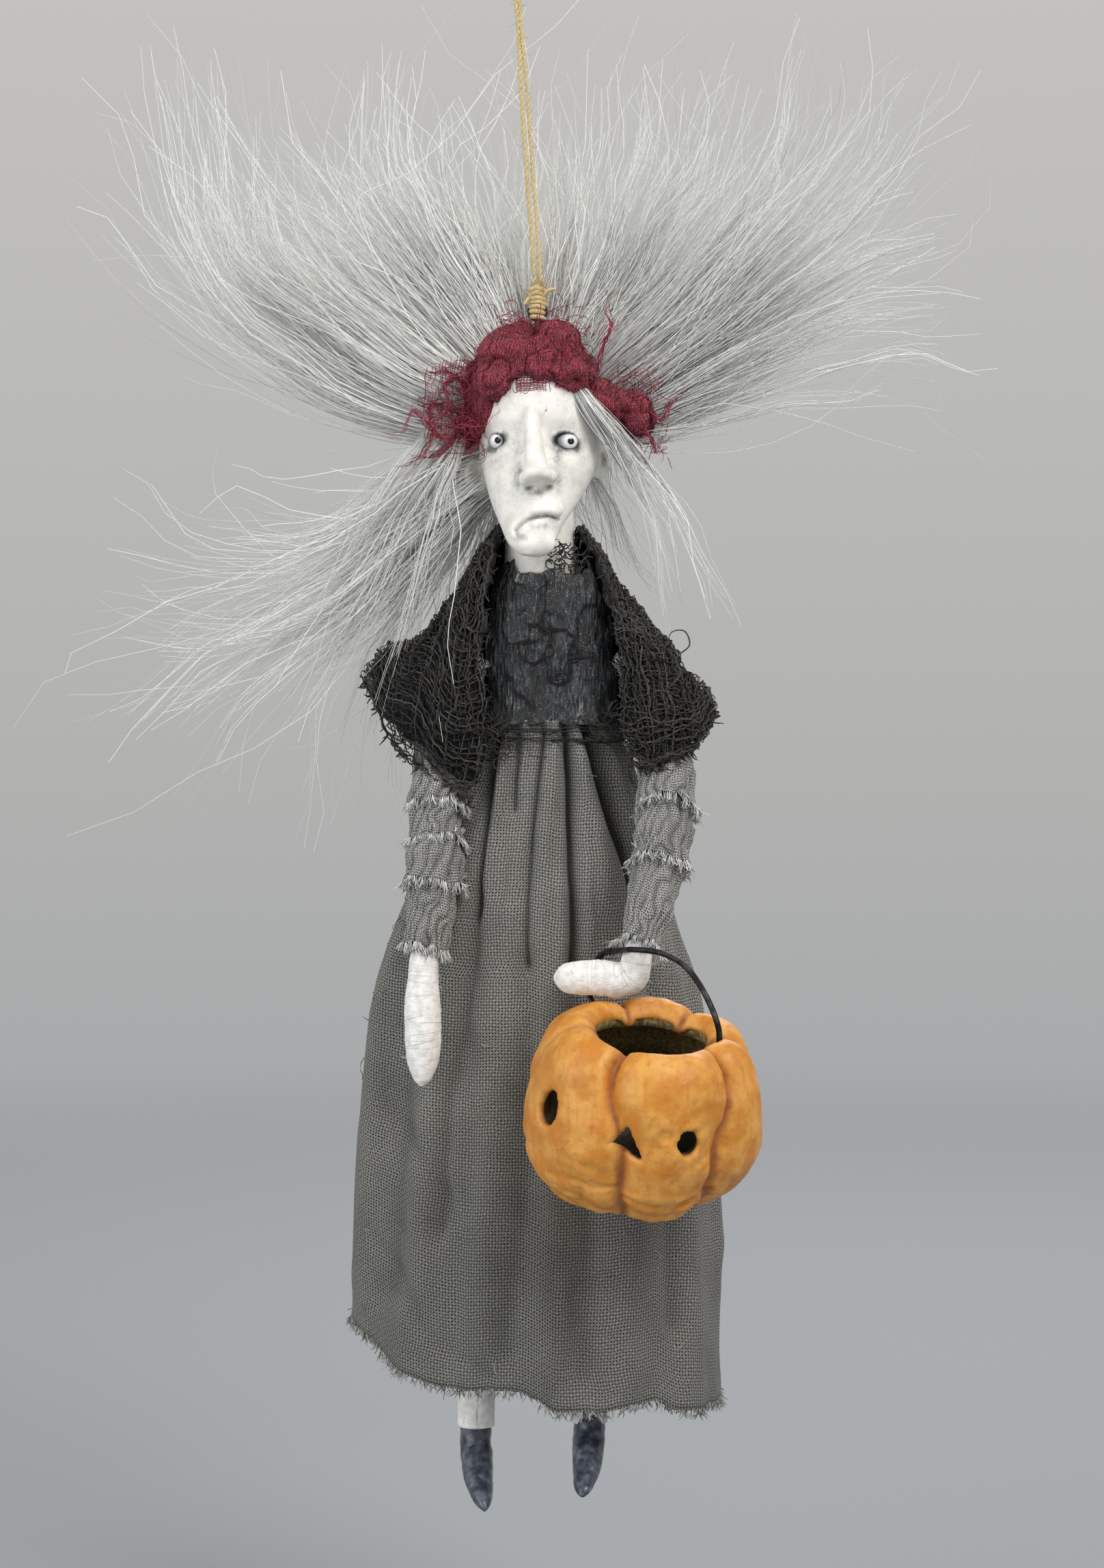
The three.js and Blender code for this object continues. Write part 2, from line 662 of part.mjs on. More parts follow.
const leftShoulder = vec(torsoX - armMiddle, 0, shoulderZ);
const rightShoulder = vec(torsoX + armMiddle, 0, shoulderZ);
const leftRoute = [
  leftShoulder,
  leftShoulder.clone().add(vec(-5, -3.6, -15)),
  leftShoulder.clone().add(vec(-8.2, -8.2, -32)),
  leftShoulder.clone().add(vec(-8.6, -11.8, -47)),
  leftShoulder.clone().add(vec(-10.2, -15.5, -62.4)),
];
const rightRoute = [
  rightShoulder,
  rightShoulder.clone().add(vec(5.4, -7, -14)),
  rightShoulder.clone().add(vec(8.4, -14.5, -28)),
  rightShoulder.clone().add(vec(7, -22.5, -44)),
  rightShoulder.clone().add(vec(2.8, -31.5, -61.5)),
];
const armRadii = [1.5, armRadius, armRadius, armRadius, 0.85 * armRadius];
const armPin = { radii: armRadii, z: shoulderZ, eyeRadius: shoulderEyeRadius };
const pin = { pinRadius: handPinRadius, pinLength: handPinLength };
const leftArm = { ...armPin, ...pin, route: leftRoute, x: leftShoulder.x };
const rightPinLength = 4;
const rightArm = { ...armPin, ...pin, route: rightRoute, x: rightShoulder.x, pinLength: rightPinLength };
add("arm_core_left", limb(leftArm), "steel");
add("arm_core_right", limb(rightArm), "steel");

// Sleeve strips wound on the arms: [start share, end share, radius at the start, radius at the end]
const sleeves = {
  left: [[0.14, 0.52, 3.9, 4.9], [0.55, 0.64, 5.0, 4.6], [0.67, 0.77, 5.3, 5.1], [0.8, 0.985, 4.6, 3.6]],
  right: [[0.14, 0.42, 3.9, 4.7], [0.45, 0.6, 5.0, 4.9], [0.63, 0.76, 4.8, 4.6], [0.79, 0.985, 4.5, 3.7]],
};
for (const [side, strips] of Object.entries(sleeves)) {
  const curve = smooth(side === "left" ? leftRoute : rightRoute);
  strips.forEach(([from, to, first, last], index) => {
    const span = { sides: 12, steps: 3, from, to };
    const middle = [(from + to) / 2, Math.max(first, last)];
    const outer = [[0, first], [from, first], middle, [to, last], [1.01, last]];
    const inner = armRadii.map((radius, place) => [place / (armRadii.length - 1), radius + clearance]);
    const walls = [outer, inner].map((rows) => ovalRings(curve, rows, span));
    add(`sleeve_${side}_${index + 1}`, shell(...walls), "sleeve");
  });
}

// Hands, each with a hole for its arm's pin
function handHole(route, reach) {
  const curve = smooth(route);
  const end = curve.getPoint(1);
  const ahead = curve.getTangent(1);
  const far = end.clone().addScaledVector(ahead, reach + clearance);
  return solid(rod(end.clone().addScaledVector(ahead, -1), far, handPinRadius + clearance, 10));
}

const leftArmEnd = smooth(leftRoute).getTangent(1);
const leftWrist = leftRoute[4].clone().addScaledVector(leftArmEnd, clearance + 0.1);
const leftHandCurve = smooth([
  leftWrist,
  leftWrist.clone().addScaledVector(leftArmEnd, 0.1 * leftHandLength),
  leftWrist.clone().add(vec(-0.5, -1.4, -0.34 * leftHandLength)),
  leftWrist.clone().add(vec(-0.4, -1.6, -0.7 * leftHandLength)),
  leftWrist.clone().add(vec(-0.7, -1.2, -leftHandLength)),
]);
const leftHandRows = [
  [0, 0.36 * leftHandWidth, 0.4 * handDepth],
  [0.3, 0.42 * leftHandWidth, 0.46 * handDepth],
  [0.62, 0.5 * leftHandWidth, 0.5 * handDepth],
  [0.85, 0.4 * leftHandWidth, 0.42 * handDepth],
  [1, 0.12 * leftHandWidth, 0.16 * handDepth],
];
const leftHand = solid(loft(ovalRings(leftHandCurve, leftHandRows, { sides: 10, steps: 9 })));
const leftMitten = without(leftHand, handHole(leftRoute, handPinLength));
add("hand_left", geometryOf(leftMitten.simplify(sliver)), "fibre");

const rightArmEnd = smooth(rightRoute).getTangent(1);
const rightWrist = rightRoute[4].clone().addScaledVector(rightArmEnd, clearance + 0.1);
const handAxisZ = rightWrist.z - 1.3 - rightHandHeight / 2;
const handHeel = vec(rightWrist.x + 0.6, rightWrist.y - 0.4, handAxisZ + 0.4);
const rightHandCurve = smooth([
  rightWrist,
  rightWrist.clone().addScaledVector(rightArmEnd, 1.6),
  handHeel.clone().add(vec(-2.4, 0, -0.8)),
  handHeel.clone().add(vec(-0.5 * rightHandLength, 0.2, -0.9)),
  handHeel.clone().add(vec(-rightHandLength, 0.4, -0.3)),
]);
const rightHandRows = [
  [0, 3, 2.8],
  [0.14, 2.9, 2.8],
  [0.34, 0.47 * rightHandHeight, 2.9],
  [0.62, 0.5 * rightHandHeight, 2.9],
  [0.88, 0.38 * rightHandHeight, 2.2],
  [1, 0.12 * rightHandHeight, 0.8],
];
const rightHand = solid(loft(ovalRings(rightHandCurve, rightHandRows, { sides: 10, steps: 12 })));
const rightMitten = without(largest(rightHand), handHole(rightRoute, rightPinLength));
add("hand_right", geometryOf(rightMitten.simplify(sliver)), "fibre");

// Shawl: a collar round the neck, and a wing over each arm
const collarTop = torsoTop + 9.4;
const collarSpan = 140;
const collarDip = 5.4;

function collarGrid(lift) {
  return Array.from({ length: 4 }, (_, row) => {
    const share = row / 3;
    return Array.from({ length: 23 }, (_, column) => {
      const angle = degrees(-collarSpan + (2 * collarSpan * column) / 22);
      const front = Math.max(0, -Math.cos(angle));
      const neckWall = neckRadius + clearance + lift;
      const wide = neckWall + share ** 1.3 * (bodiceHalfWidth - neckRadius - clearance - clothLayer);
      const deep = neckWall + share ** 1.3 * (torsoDepth / 2 - neckRadius + 3.4);
      const slope = share * (collarTop - torsoTop - clearance - 0.3);
      return vec(
        THREE.MathUtils.lerp(headAt.x, torsoX, share) + wide * Math.sin(angle),
        1.5 + deep * Math.cos(angle),
        collarTop - slope * (1 - front * 0.5) + lift - collarDip * front * (1 - 0.4 * share),
      );
    });
  });
}
add("shawl_collar", sheet(collarGrid(clothLayer), collarGrid(0)), "shawl");

// Wing: rows of [share from the bodice to the tip, ridge, lower edge, front reach, back reach], the
// heights below the shoulder wire and the reaches from it
function wing(side, span, rows) {
  const start = torsoX + side * (bodiceHalfWidth + 0.5);
  const columns = 14;
  const sections = 9;
  const grid = (inset) =>
    Array.from({ length: sections + 1 }, (_, section) => {
      const share = section / sections;
      const [ridge, hem, front, rear] = sample(rows, share);
      return Array.from({ length: columns + 1 }, (_, column) => {
        const turn = (2 * column) / columns - 1;
        const fall = Math.abs(turn);
        const reach = turn < 0 ? -front : rear;
        const fold = 0.5 * fall * Math.sin(9 * share + 3 * turn);
        const out = 1 - (1 - fall) ** 2.1;
        const drop = (hem - ridge) * (turn > 0 ? 0.62 : 1);
        return vec(
          start + side * (share * span + (share > 0.99 ? -inset : 0)),
          (Math.abs(reach) - inset + fold) * out * Math.sign(reach || 1),
          shoulderZ - ridge - inset * (1 - fall * fall) - drop * fall ** 1.7,
        );
      });
    });
  return sheet(grid(0), grid(clothLayer * 0.85));
}

const leftWingRows = [
  [0, -12, 34, 13.5, 7],
  [0.18, -8.6, 34.6, 14.2, 7.4],
  [0.4, -3, 30.5, 14, 7.4],
  [0.62, 2.2, 26, 11, 7],
  [0.82, 5, 21.5, 7, 5],
  [1, 8.6, 13, 2.6, 2.4],
];
const rightWingRows = [
  [0, -12, 24, 17, 7],
  [0.25, -5.4, 28.4, 20.8, 7.4],
  [0.5, 1.4, 26.5, 20.8, 7],
  [0.75, 8, 23.5, 17.5, 5],
  [1, 14.2, 18.8, 12, 2.4],
];
add("shawl_wing_left", wing(-1, 23, leftWingRows), "shawl");
add("shawl_wing_right", wing(1, 17.4, rightWingRows), "shawl");

// Skirt: rows of [share of the height, half width, half depth, shift from the torso's middle]
const skirtRows = [
  [0, bodiceHalfWidth + 0.6, torsoDepth / 2 + clearance + clothLayer + 0.6, 0],
  [0.06, bodiceHalfWidth + 2.6, torsoDepth / 2 + 3.2, -0.2],
  [0.28, 0.35 * skirtHemWidth, 0.3 * skirtHemDepth, -1.6],
  [0.41, 0.425 * skirtHemWidth, 0.32 * skirtHemDepth, -2.1],
  [0.55, 0.465 * skirtHemWidth, 0.34 * skirtHemDepth, -2.4],
  [0.75, 0.49 * skirtHemWidth, 0.42 * skirtHemDepth, -2.7],
  [1, skirtHemWidth / 2, skirtHemDepth / 2, -2.9],
];
const skirtShares = [0, 0.03, 0.1, 0.2, 0.32, 0.45, 0.6, 0.78, 1];

function skirtRing(share, inset) {
  const [halfWidth, halfDepth, shift] = sample(skirtRows, share);
  const waist = THREE.MathUtils.smoothstep(share, 0, 0.06);
  const sides = 60;
  return Array.from({ length: sides }, (_, side) => {
    const angle = (2 * Math.PI * side) / sides;
    const left = Math.max(0, -Math.sin(angle));
    const fold = foldDepth * waist * (1 - 0.35 * share) * Math.cos(foldCount * angle + 0.7 + 1.1 * share);
    const z = skirtTop - share * (skirtHeight - hemLift * left ** 3 + Math.cos(5 * angle));
    const away = fold - inset;
    const x = torsoX + shift + (halfWidth + away) * Math.sin(angle);
    return vec(x, -(halfDepth + away) * Math.cos(angle), z);
  });
}
const skirtWalls = [0, clothLayer].map((inset) => skirtShares.map((share) => skirtRing(share, inset)));
add("skirt", shell(...skirtWalls), "linen");

// Legs and boots
function leg(side, foot) {
  const x = torsoX + side * hipMiddle;
  const top = vec(x, 0, hipZ);
  const knee = vec((x + foot) / 2, 0, hipZ - legLength / 2);
  const route = [top, vec(x, 0, hipZ - 4), knee, vec(foot, 0, hipZ - legLength)];
  const radii = [1.1, 0.62 * legRadius, 0.9 * legRadius, legRadius];
  const peg = { pinRadius: pegRadius, pinLength: pegLength };
  return { route, radii, z: hipZ, x, eyeRadius: hipEyeRadius, ...peg };
}

function boot(ankle, toeSide) {
  const top = ankle.clone().add(vec(0, 0, -clearance));
  const curve = smooth([
    top,
    top.clone().add(vec(0, 0, -0.12 * bootHeight)),
    top.clone().add(vec(0.1 * toeSide, -1.2, -0.42 * bootHeight)),
    top.clone().add(vec(0.4 * toeSide, -0.48 * bootReach, -0.78 * bootHeight)),
    top.clone().add(vec(toeSide, -bootReach, -bootHeight + 1.6)),
  ]);
  const rows = [
    [0, legRadius + 0.3, legRadius + 0.3],
    [0.35, legRadius, legRadius + 0.2],
    [0.7, 0.82 * legRadius, 0.8 * legRadius],
    [0.92, 0.52 * legRadius, 0.5 * legRadius],
    [1, 0.5, 0.5],
  ];
  const body = solid(loft(ovalRings(curve, rows, { sides: 12, steps: 9, thin: vec(0, 0.7, 0.7) })));
  const pegTip = ankle.clone().add(vec(0, 0, -pegLength - clearance - 0.1));
  const pegHole = rod(ankle.clone().add(vec(0, 0, 1)), pegTip, pegRadius + clearance);
  return geometryOf(without(body, solid(pegHole)));
}

const leftFoot = torsoX - 14.6;
const rightFoot = torsoX + 7.5;
const ankles = { left: [-1, leftFoot, 1.6], right: [1, rightFoot, -2.4] };
for (const [name, [side, foot, toeSide]] of Object.entries(ankles)) {
  add(`leg_${name}`, limb(leg(side, foot)), "clay");
  add(`boot_${name}`, boot(vec(foot, 0, hipZ - legLength), toeSide), "boot");
}

// Pumpkin: [radius, height] as shares of its radius and of its half height, up the outside from the
// middle of the bottom, and down the inside from under the lip
const pumpkinOutside = [
  [0.23, -0.98],
  [0.46, -1.03],
  [0.73, -0.88],
  [0.91, -0.55],
  [1, -0.1],
  [0.985, 0.34],
  [0.88, 0.71],
  [0.7, 0.93],
  [0.53, 0.95],
];
const pumpkinInside = [
  [0.72, 0.93],
  [0.9, 0.66],
  [1, 0.3],
  [1, -0.1],
  [0.9, -0.55],
  [0.66, -0.88],
  [0.3, -0.96],
];
const halfHeight = pumpkinHeight / 2;
const grooves = [-11, 40, 94, 147, 202, 262];

// How deep a groove runs at an angle, from 0 on a lobe to 1 in a groove.
function groove(angle) {
  const near = Math.min(...grooves.map((place) => Math.abs(((angle - place + 540) % 360) - 180)));
  return Math.exp(-((near / 9) ** 2)) + 0.35 * Math.exp(-((near / 20) ** 2));
}

function pumpkinRing(radius, z, depth) {
  const sides = 48;
  return Array.from({ length: sides }, (_, side) => {
    const angle = (360 * side) / sides;
    const reach = radius - depth * groove(angle);
    return vec(reach * Math.sin(degrees(angle)), -reach * Math.cos(degrees(angle)), z);
  });
}

function pumpkinShell() {
  const mouth = pumpkinMouth / 2;
  const rings = pumpkinOutside.map(([radius, z]) =>
    pumpkinRing(radius * pumpkinRadius, z * halfHeight, grooveDepth * Math.min(1, 1.6 * radius)),
  );
  rings.push(pumpkinRing(mouth + 0.7, 0.84 * halfHeight, 0.3 * grooveDepth));
  rings.push(pumpkinRing(mouth, 0.7 * halfHeight, 0.2 * grooveDepth));
  rings.push(pumpkinRing(mouth + 1, 0.64 * halfHeight, 0.2 * grooveDepth));
  const innerRadius = pumpkinRadius - pumpkinWall;
  const innerHalf = halfHeight - pumpkinWall - 1;
  for (const [radius, z] of pumpkinInside) {
    rings.push(pumpkinRing(radius * innerRadius, z * innerHalf, 0.6 * grooveDepth));
  }
  const foot = vec(0, 0, -0.9 * halfHeight);
  return loft(rings, [foot, foot.clone().add(vec(0, 0, pumpkinWall))]);
}

// Where the hand carries the bail, and the lantern hanging from there
const crook = handHeel.clone().add(vec(-4.8, 0, 0.05 + 0.5 * rightHandHeight));
const bailPivot = crook.clone().add(vec(0, 0, clearance + bailWire / 2));
const lantern = new THREE.Group();
lantern.position.copy(bailPivot).add(vec(4.6, -3.2, -lanternDrop));
lantern.rotation.set(degrees(pumpkinLean), degrees(pumpkinRoll), 0);
lantern.updateMatrixWorld();
doll.add(lantern);

// Windows cut through the wall: [angle round, height, half width, half height, sides]
const windows = [
  { angle: -55, z: 0.3, width: 2.4, height: 3.3, sides: 12 },
  { angle: 20, z: 0.3, width: 2.1, height: 2.2, sides: 12 },
  { angle: -12, z: 0.2, width: 3.8, height: 3.2, sides: 3 },
];

function windowCutter({ angle, z, width, height, sides }) {
  const outline = new THREE.Shape(
    Array.from({ length: sides }, (_, side) => {
      const turn = (2 * Math.PI * side) / sides + Math.PI / 2;
      return new THREE.Vector2(width * Math.cos(turn), height * Math.sin(turn));
    }),
  );
  const cutter = new THREE.ExtrudeGeometry(outline, { depth: 1.2 * pumpkinRadius, bevelEnabled: false });
  cutter.rotateX(Math.PI / 2);
  cutter.translate(0, -2, z * halfHeight);
  return solid(cutter.rotateZ(degrees(angle)));
}

// Bail holes: angle round, radius and height of the outer wall there, and how far the hole slopes inward
const bailHoles = [
  { angle: -142, radius: 0.8 * pumpkinRadius, z: 0.83 * halfHeight, slope: 1 },
  { angle: 86, radius: 0.54 * pumpkinRadius, z: 0.95 * halfHeight, slope: 0 },
].map(({ angle, radius, z, slope }) => {
  const reach = vec(Math.sin(degrees(angle)), -Math.cos(degrees(angle)), 0).multiplyScalar(radius);
  const outward = reach.clone().multiplyScalar(slope).add(vec(0, 0, z)).normalize();
  return { place: reach.add(vec(0, 0, z)), outward };
});
// A place on a hole's axis, so far outside the wall.
const beyond = ({ place, outward }, distance) => place.clone().addScaledVector(outward, distance);
const holeCutters = bailHoles.map((hole) =>
  solid(rod(beyond(hole, 4), beyond(hole, -2.4 * pumpkinWall), bailHoleRadius, 12)),
);
const pumpkin = without(solid(pumpkinShell()), ...windows.map(windowCutter), ...holeCutters);
add("pumpkin", geometryOf(pumpkin), "pumpkin", lantern);

// Bail: from inside one hole, over the hand from behind it to the front, and into the other hole
const inWorld = (point) => lantern.localToWorld(point.clone());
const [backHole, frontHole] = bailHoles;
const bailRoute = [
  inWorld(beyond(backHole, -bailEndDepth)),
  inWorld(beyond(backHole, 2)),
  bailPivot.clone().add(vec(-4.6, 7.2, -4.2)),
  bailPivot.clone().add(vec(-2.6, 5.2, -0.9)),
  bailPivot.clone(),
  bailPivot.clone().add(vec(3.4, -4.6, 0.5)),
  bailPivot.clone().add(vec(8.6, -6.6, -0.2)),
  bailPivot.clone().add(vec(13, -8, -3)),
  inWorld(beyond(frontHole, 2)),
  inWorld(beyond(frontHole, -bailEndDepth)),
];
const bailCurve = new THREE.CatmullRomCurve3(bailRoute, false, "centripetal");
const bailEnds = [bailRoute[0], bailRoute[bailRoute.length - 1]];
const bailBeads = bailEnds.map((end) => ball(end, round(bailEndRadius), 8, 5));
const bail = joined(bar(bailCurve, bailWire / 2, 36), ...bailBeads);
add("lantern_bail", geometryOf(bail), "steel");

export default doll;
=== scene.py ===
"""Looks of a hanging cloth doll, its wild hair and its clay lantern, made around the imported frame.

Lengths in this file are in millimetres unless a property says otherwise. +Z is up, the doll faces -Y,
and left and right are the viewer's.
"""

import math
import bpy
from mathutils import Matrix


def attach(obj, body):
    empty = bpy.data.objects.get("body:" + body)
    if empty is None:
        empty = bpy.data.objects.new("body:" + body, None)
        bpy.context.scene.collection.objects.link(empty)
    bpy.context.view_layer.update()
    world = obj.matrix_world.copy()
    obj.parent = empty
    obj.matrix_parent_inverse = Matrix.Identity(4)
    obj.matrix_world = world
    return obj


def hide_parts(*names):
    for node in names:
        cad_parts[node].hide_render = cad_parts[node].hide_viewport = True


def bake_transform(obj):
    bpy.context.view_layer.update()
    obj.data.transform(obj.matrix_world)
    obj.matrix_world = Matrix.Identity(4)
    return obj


bl_info = {
    "name": "Hanging Witch Doll",
    "version": (1, 0, 0),
    "blender": (4, 5, 0),
    "location": "View3D > Sidebar > Witch Doll",
    "description": "Makes the hair, cloth, clay and lantern of a hanging doll around its frame",
    "category": "Add Mesh",
}

import bmesh
import bpy
import numpy as np
from bpy.props import FloatProperty, FloatVectorProperty, IntProperty, PointerProperty
from mathutils import Matrix, Vector
from mathutils.bvhtree import BVHTree

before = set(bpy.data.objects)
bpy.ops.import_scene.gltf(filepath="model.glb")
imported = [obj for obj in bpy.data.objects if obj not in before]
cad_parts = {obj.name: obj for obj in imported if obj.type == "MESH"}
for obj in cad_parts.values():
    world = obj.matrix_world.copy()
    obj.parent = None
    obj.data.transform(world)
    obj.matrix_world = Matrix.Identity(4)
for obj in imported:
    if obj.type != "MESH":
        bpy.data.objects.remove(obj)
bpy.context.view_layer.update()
MM = 0.001


# Numbers along curves and over lumps


def hermite(share, start, leave, end, reach):
    """Values on the way from a start to an end, given the slope at each."""
    square, cube = share**2, share**3
    return (
        (2 * cube - 3 * square + 1) * start
        + (cube - 2 * square + share) * leave
        + (3 * square - 2 * cube) * end
        + (cube - square) * reach
    )


def profile(rows, places):
    """Smooth values of a profile's columns at places along it. Each row is [place, value, ...]."""
    rows = np.asarray(rows, float)
    places = np.asarray(places, float)
    row = np.clip(np.searchsorted(rows[:, 0], places, side="left") - 1, 0, len(rows) - 2)
    span = (rows[row + 1, 0] - rows[row, 0])[..., None]
    share = np.clip((places - rows[row, 0]) / span[..., 0], 0, 1)[..., None]
    last = len(rows) - 1

    def slope(index):
        low, high = rows[np.maximum(index - 1, 0)], rows[np.minimum(index + 1, last)]
        return (high[..., 1:] - low[..., 1:]) / (high[..., :1] - low[..., :1]) * span

    return hermite(share, rows[row, 1:], slope(row), rows[row + 1, 1:], slope(row + 1))


def spline(points, shares):
    """Places on a centripetal curve through points: so many even ones, or one for each share."""
    if isinstance(shares, int):
        shares = np.linspace(0, 1, shares)
    route = np.asarray(points, float)
    route = np.concatenate([[2 * route[0] - route[1]], route, [2 * route[-1] - route[-2]]])
    pieces = len(route) - 3
    place = np.clip(np.asarray(shares, float) * pieces, 0, pieces - 1e-9)
    index = place.astype(int)
    share = (place - index)[..., None]
    before, start, end, after = (route[index + step] for step in range(4))
    gaps = [
        np.sqrt(np.linalg.norm(b - a, axis=-1, keepdims=True)) + 1e-9
        for a, b in ((before, start), (start, end), (end, after))
    ]
    leave = (start - before) / gaps[0] - (end - before) / (gaps[0] + gaps[1]) + (end - start) / gaps[1]
    reach = (end - start) / gaps[1] - (after - start) / (gaps[1] + gaps[2]) + (after - end) / gaps[2]
    return hermite(share, start, leave * gaps[1], end, reach * gaps[1])


def unit(vectors):
    """Vectors of length 1."""
    return vectors / np.maximum(np.linalg.norm(vectors, axis=-1, keepdims=True), 1e-12)


def smoothstep(low, high, values):
    """0 below low, 1 above high, smooth between."""
    share = np.clip((values - low) / (high - low), 0, 1)
    return share * share * (3 - 2 * share)


def lumps(points, size, seed=0):
    """Smooth random values from -1 to 1 over points, in lumps of one size."""
    place = np.asarray(points, float) / size + 500.0
    cell = np.floor(place).astype(np.int64)
    inside = place - cell
    inside = inside * inside * (3 - 2 * inside)
    total = np.zeros(place.shape[:-1])
    for corner in np.ndindex(2, 2, 2):
        key = cell + np.array(corner)
        mixed = key[..., 0] * 73856093 ^ key[..., 1] * 19349663 ^ key[..., 2] * 83492791 ^ seed * 2654435761
        mixed = (mixed ^ (mixed >> 13)) * 1274126177
        mixed = mixed ^ (mixed >> 16)
        weight = np.prod(np.where(np.array(corner) == 1, inside, 1 - inside), axis=-1)
        total += weight * ((mixed & 0xFFFF) / 32767.5 - 1)
    return total


def drift(points, size, seed):
    """Smooth random shifts in x, y and z."""
    return np.stack([lumps(points, size, seed + axis) for axis in range(3)], -1)


def bell(values, width):
    """1 at 0, falling smoothly to both sides."""
    return np.exp(-((values / width) ** 2))


def turns(count):
    """So many angles, evenly round a circle."""
    return np.linspace(0, 2 * np.pi, count, endpoint=False)


def ridges(values):
    """A row of round folds, from 0 in the creases to 1 on the crests, one for each whole value."""
    return np.abs(np.sin(np.pi * values))


# Meshes


class Form:
    """Points, faces and UVs of a mesh, gathered grid by grid, in millimetres."""

    def __init__(self):
        self.points = []
        self.faces = []
        self.uvs = []
        self.values = {}
        self.size = 0

    def grid(self, points, uv=None, ring=False, loop=False, **values):
        """A grid of points. ring joins its last column to the first, loop its last row to the first."""
        points = np.asarray(points, float)
        rows, columns = points.shape[:2]
        if uv is None:
            wide, high = np.meshgrid(np.linspace(0, 1, columns + 1), np.linspace(0, 1, rows + 1))
            uv = np.stack([wide, high], -1)
        down = np.arange(rows if loop else rows - 1)
        along = np.arange(columns if ring else columns - 1)
        row, column = (axis.ravel() for axis in np.meshgrid(down, along, indexing="ij"))
        corners = [(row, column), (row, column + 1), (row + 1, column + 1), (row + 1, column)]
        face = [self.size + (r % rows) * columns + c % columns for r, c in corners]
        self.faces.append(np.stack(face, -1))
        reach = [np.minimum(r, uv.shape[0] - 1) for r, _ in corners]
        across = [np.minimum(c, uv.shape[1] - 1) for _, c in corners]
        self.uvs.append(np.stack([uv[r, c] for r, c in zip(reach, across)], 1))
        self._add(points.reshape(-1, 3), values)
        return self

    def cap(self, ring, centre, **values):
        """A fan from a centre point to a ring of points that is already there, matched by place."""
        count = len(ring)
        start = self.size
        around = np.arange(count)
        self.faces.append(start + np.stack([around, (around + 1) % count, np.full(count, count)], -1))
        self.uvs.append(np.zeros((count, 3, 2)))
        self._add(np.concatenate([ring, [centre]]), values)
        return self

    def loft(self, rings, **values):
        """A solid through closed rings, with both ends capped."""
        rings = np.asarray(rings, float)
        self.grid(rings, ring=True, **values)
        for end in (0, -1):
            self.cap(rings[end], rings[end].mean(0), **values)
        return self

    def _add(self, points, values):
        for name in set(self.values) | set(values):
            known = self.values.setdefault(name, [np.zeros(self.size)] if self.size else [])
            part = values.get(name, 0.0)
            known.append(np.broadcast_to(np.asarray(part, float).ravel(), len(points)).copy())
        self.points.append(points)
        self.size += len(points)

    def make(self, name, material=None, merge=0.001):
        """The mesh object, with its doubles merged and its faces turned outwards."""
        points = np.concatenate(self.points)
        mesh = bpy.data.meshes.new(name)
        faces = [face for part in self.faces for face in part.tolist()]
        mesh.from_pydata((points * MM).tolist(), [], faces)
        layer = mesh.uv_layers.new(name="Cloth")
        loops = np.concatenate([part.reshape(-1, 2) for part in self.uvs])
        layer.data.foreach_set("uv", loops.astype(np.float32).ravel())
        for key, parts in self.values.items():
            attribute = mesh.attributes.new(key, "FLOAT", "POINT")
            attribute.data.foreach_set("value", np.concatenate(parts).astype(np.float32))
        work = bmesh.new()
        work.from_mesh(mesh)
        bmesh.ops.remove_doubles(work, verts=work.verts, dist=merge * MM)
        bmesh.ops.dissolve_degenerate(work, edges=work.edges, dist=1e-7)
        bmesh.ops.recalc_face_normals(work, faces=work.faces)
        work.to_mesh(mesh)
        work.free()
        return new_object(name, mesh, material)


def new_object(name, mesh, material=None):
    """A smooth-shaded mesh object in the scene."""
    mesh.shade_smooth()
    piece = bpy.data.objects.new(name, mesh)
    bpy.context.scene.collection.objects.link(piece)
    if material:
        mesh.materials.clear()
        mesh.materials.append(material)
    return piece


def plain(piece):
    """Turns a piece's modifiers into its mesh."""
    graph = bpy.context.evaluated_depsgraph_get()
    mesh = bpy.data.meshes.new_from_object(piece.evaluated_get(graph))
    piece.modifiers.clear()
    old, piece.data = piece.data, mesh
    bpy.data.meshes.remove(old)
    mesh.shade_smooth()
    return piece


def remeshed(piece, size, smoothing=0):
    """The piece as one closed skin of even quads."""
    remesh = piece.modifiers.new("Skin", "REMESH")
    remesh.mode = "VOXEL"
    remesh.voxel_size = size * MM
    if smoothing:
        smooth = piece.modifiers.new("Smooth", "SMOOTH")
        smooth.factor = 0.5
        smooth.iterations = smoothing
    return plain(piece)


def vertex_values(mesh, key):
    """Three numbers for each of a mesh's points."""
    flat = np.zeros(len(mesh.vertices) * 3, np.float32)
    mesh.vertices.foreach_get(key, flat)
    return flat.reshape(-1, 3).astype(float)


def coordinates(mesh):
    """A mesh's points, in millimetres."""
    return vertex_values(mesh, "co") / MM


def normals(mesh):
    """A mesh's point normals."""
    return vertex_values(mesh, "normal")


def place_points(mesh, points):
    """Moves a mesh's points, given in millimetres."""
    mesh.vertices.foreach_set("co", (points * MM).astype(np.float32).ravel())
    mesh.update()


def paint_points(mesh, name, values):
    """Keeps a value for each point as an attribute."""
    attribute = mesh.attributes.get(name) or mesh.attributes.new(name, "FLOAT", "POINT")
    attribute.data.foreach_set("value", np.asarray(values, np.float32))


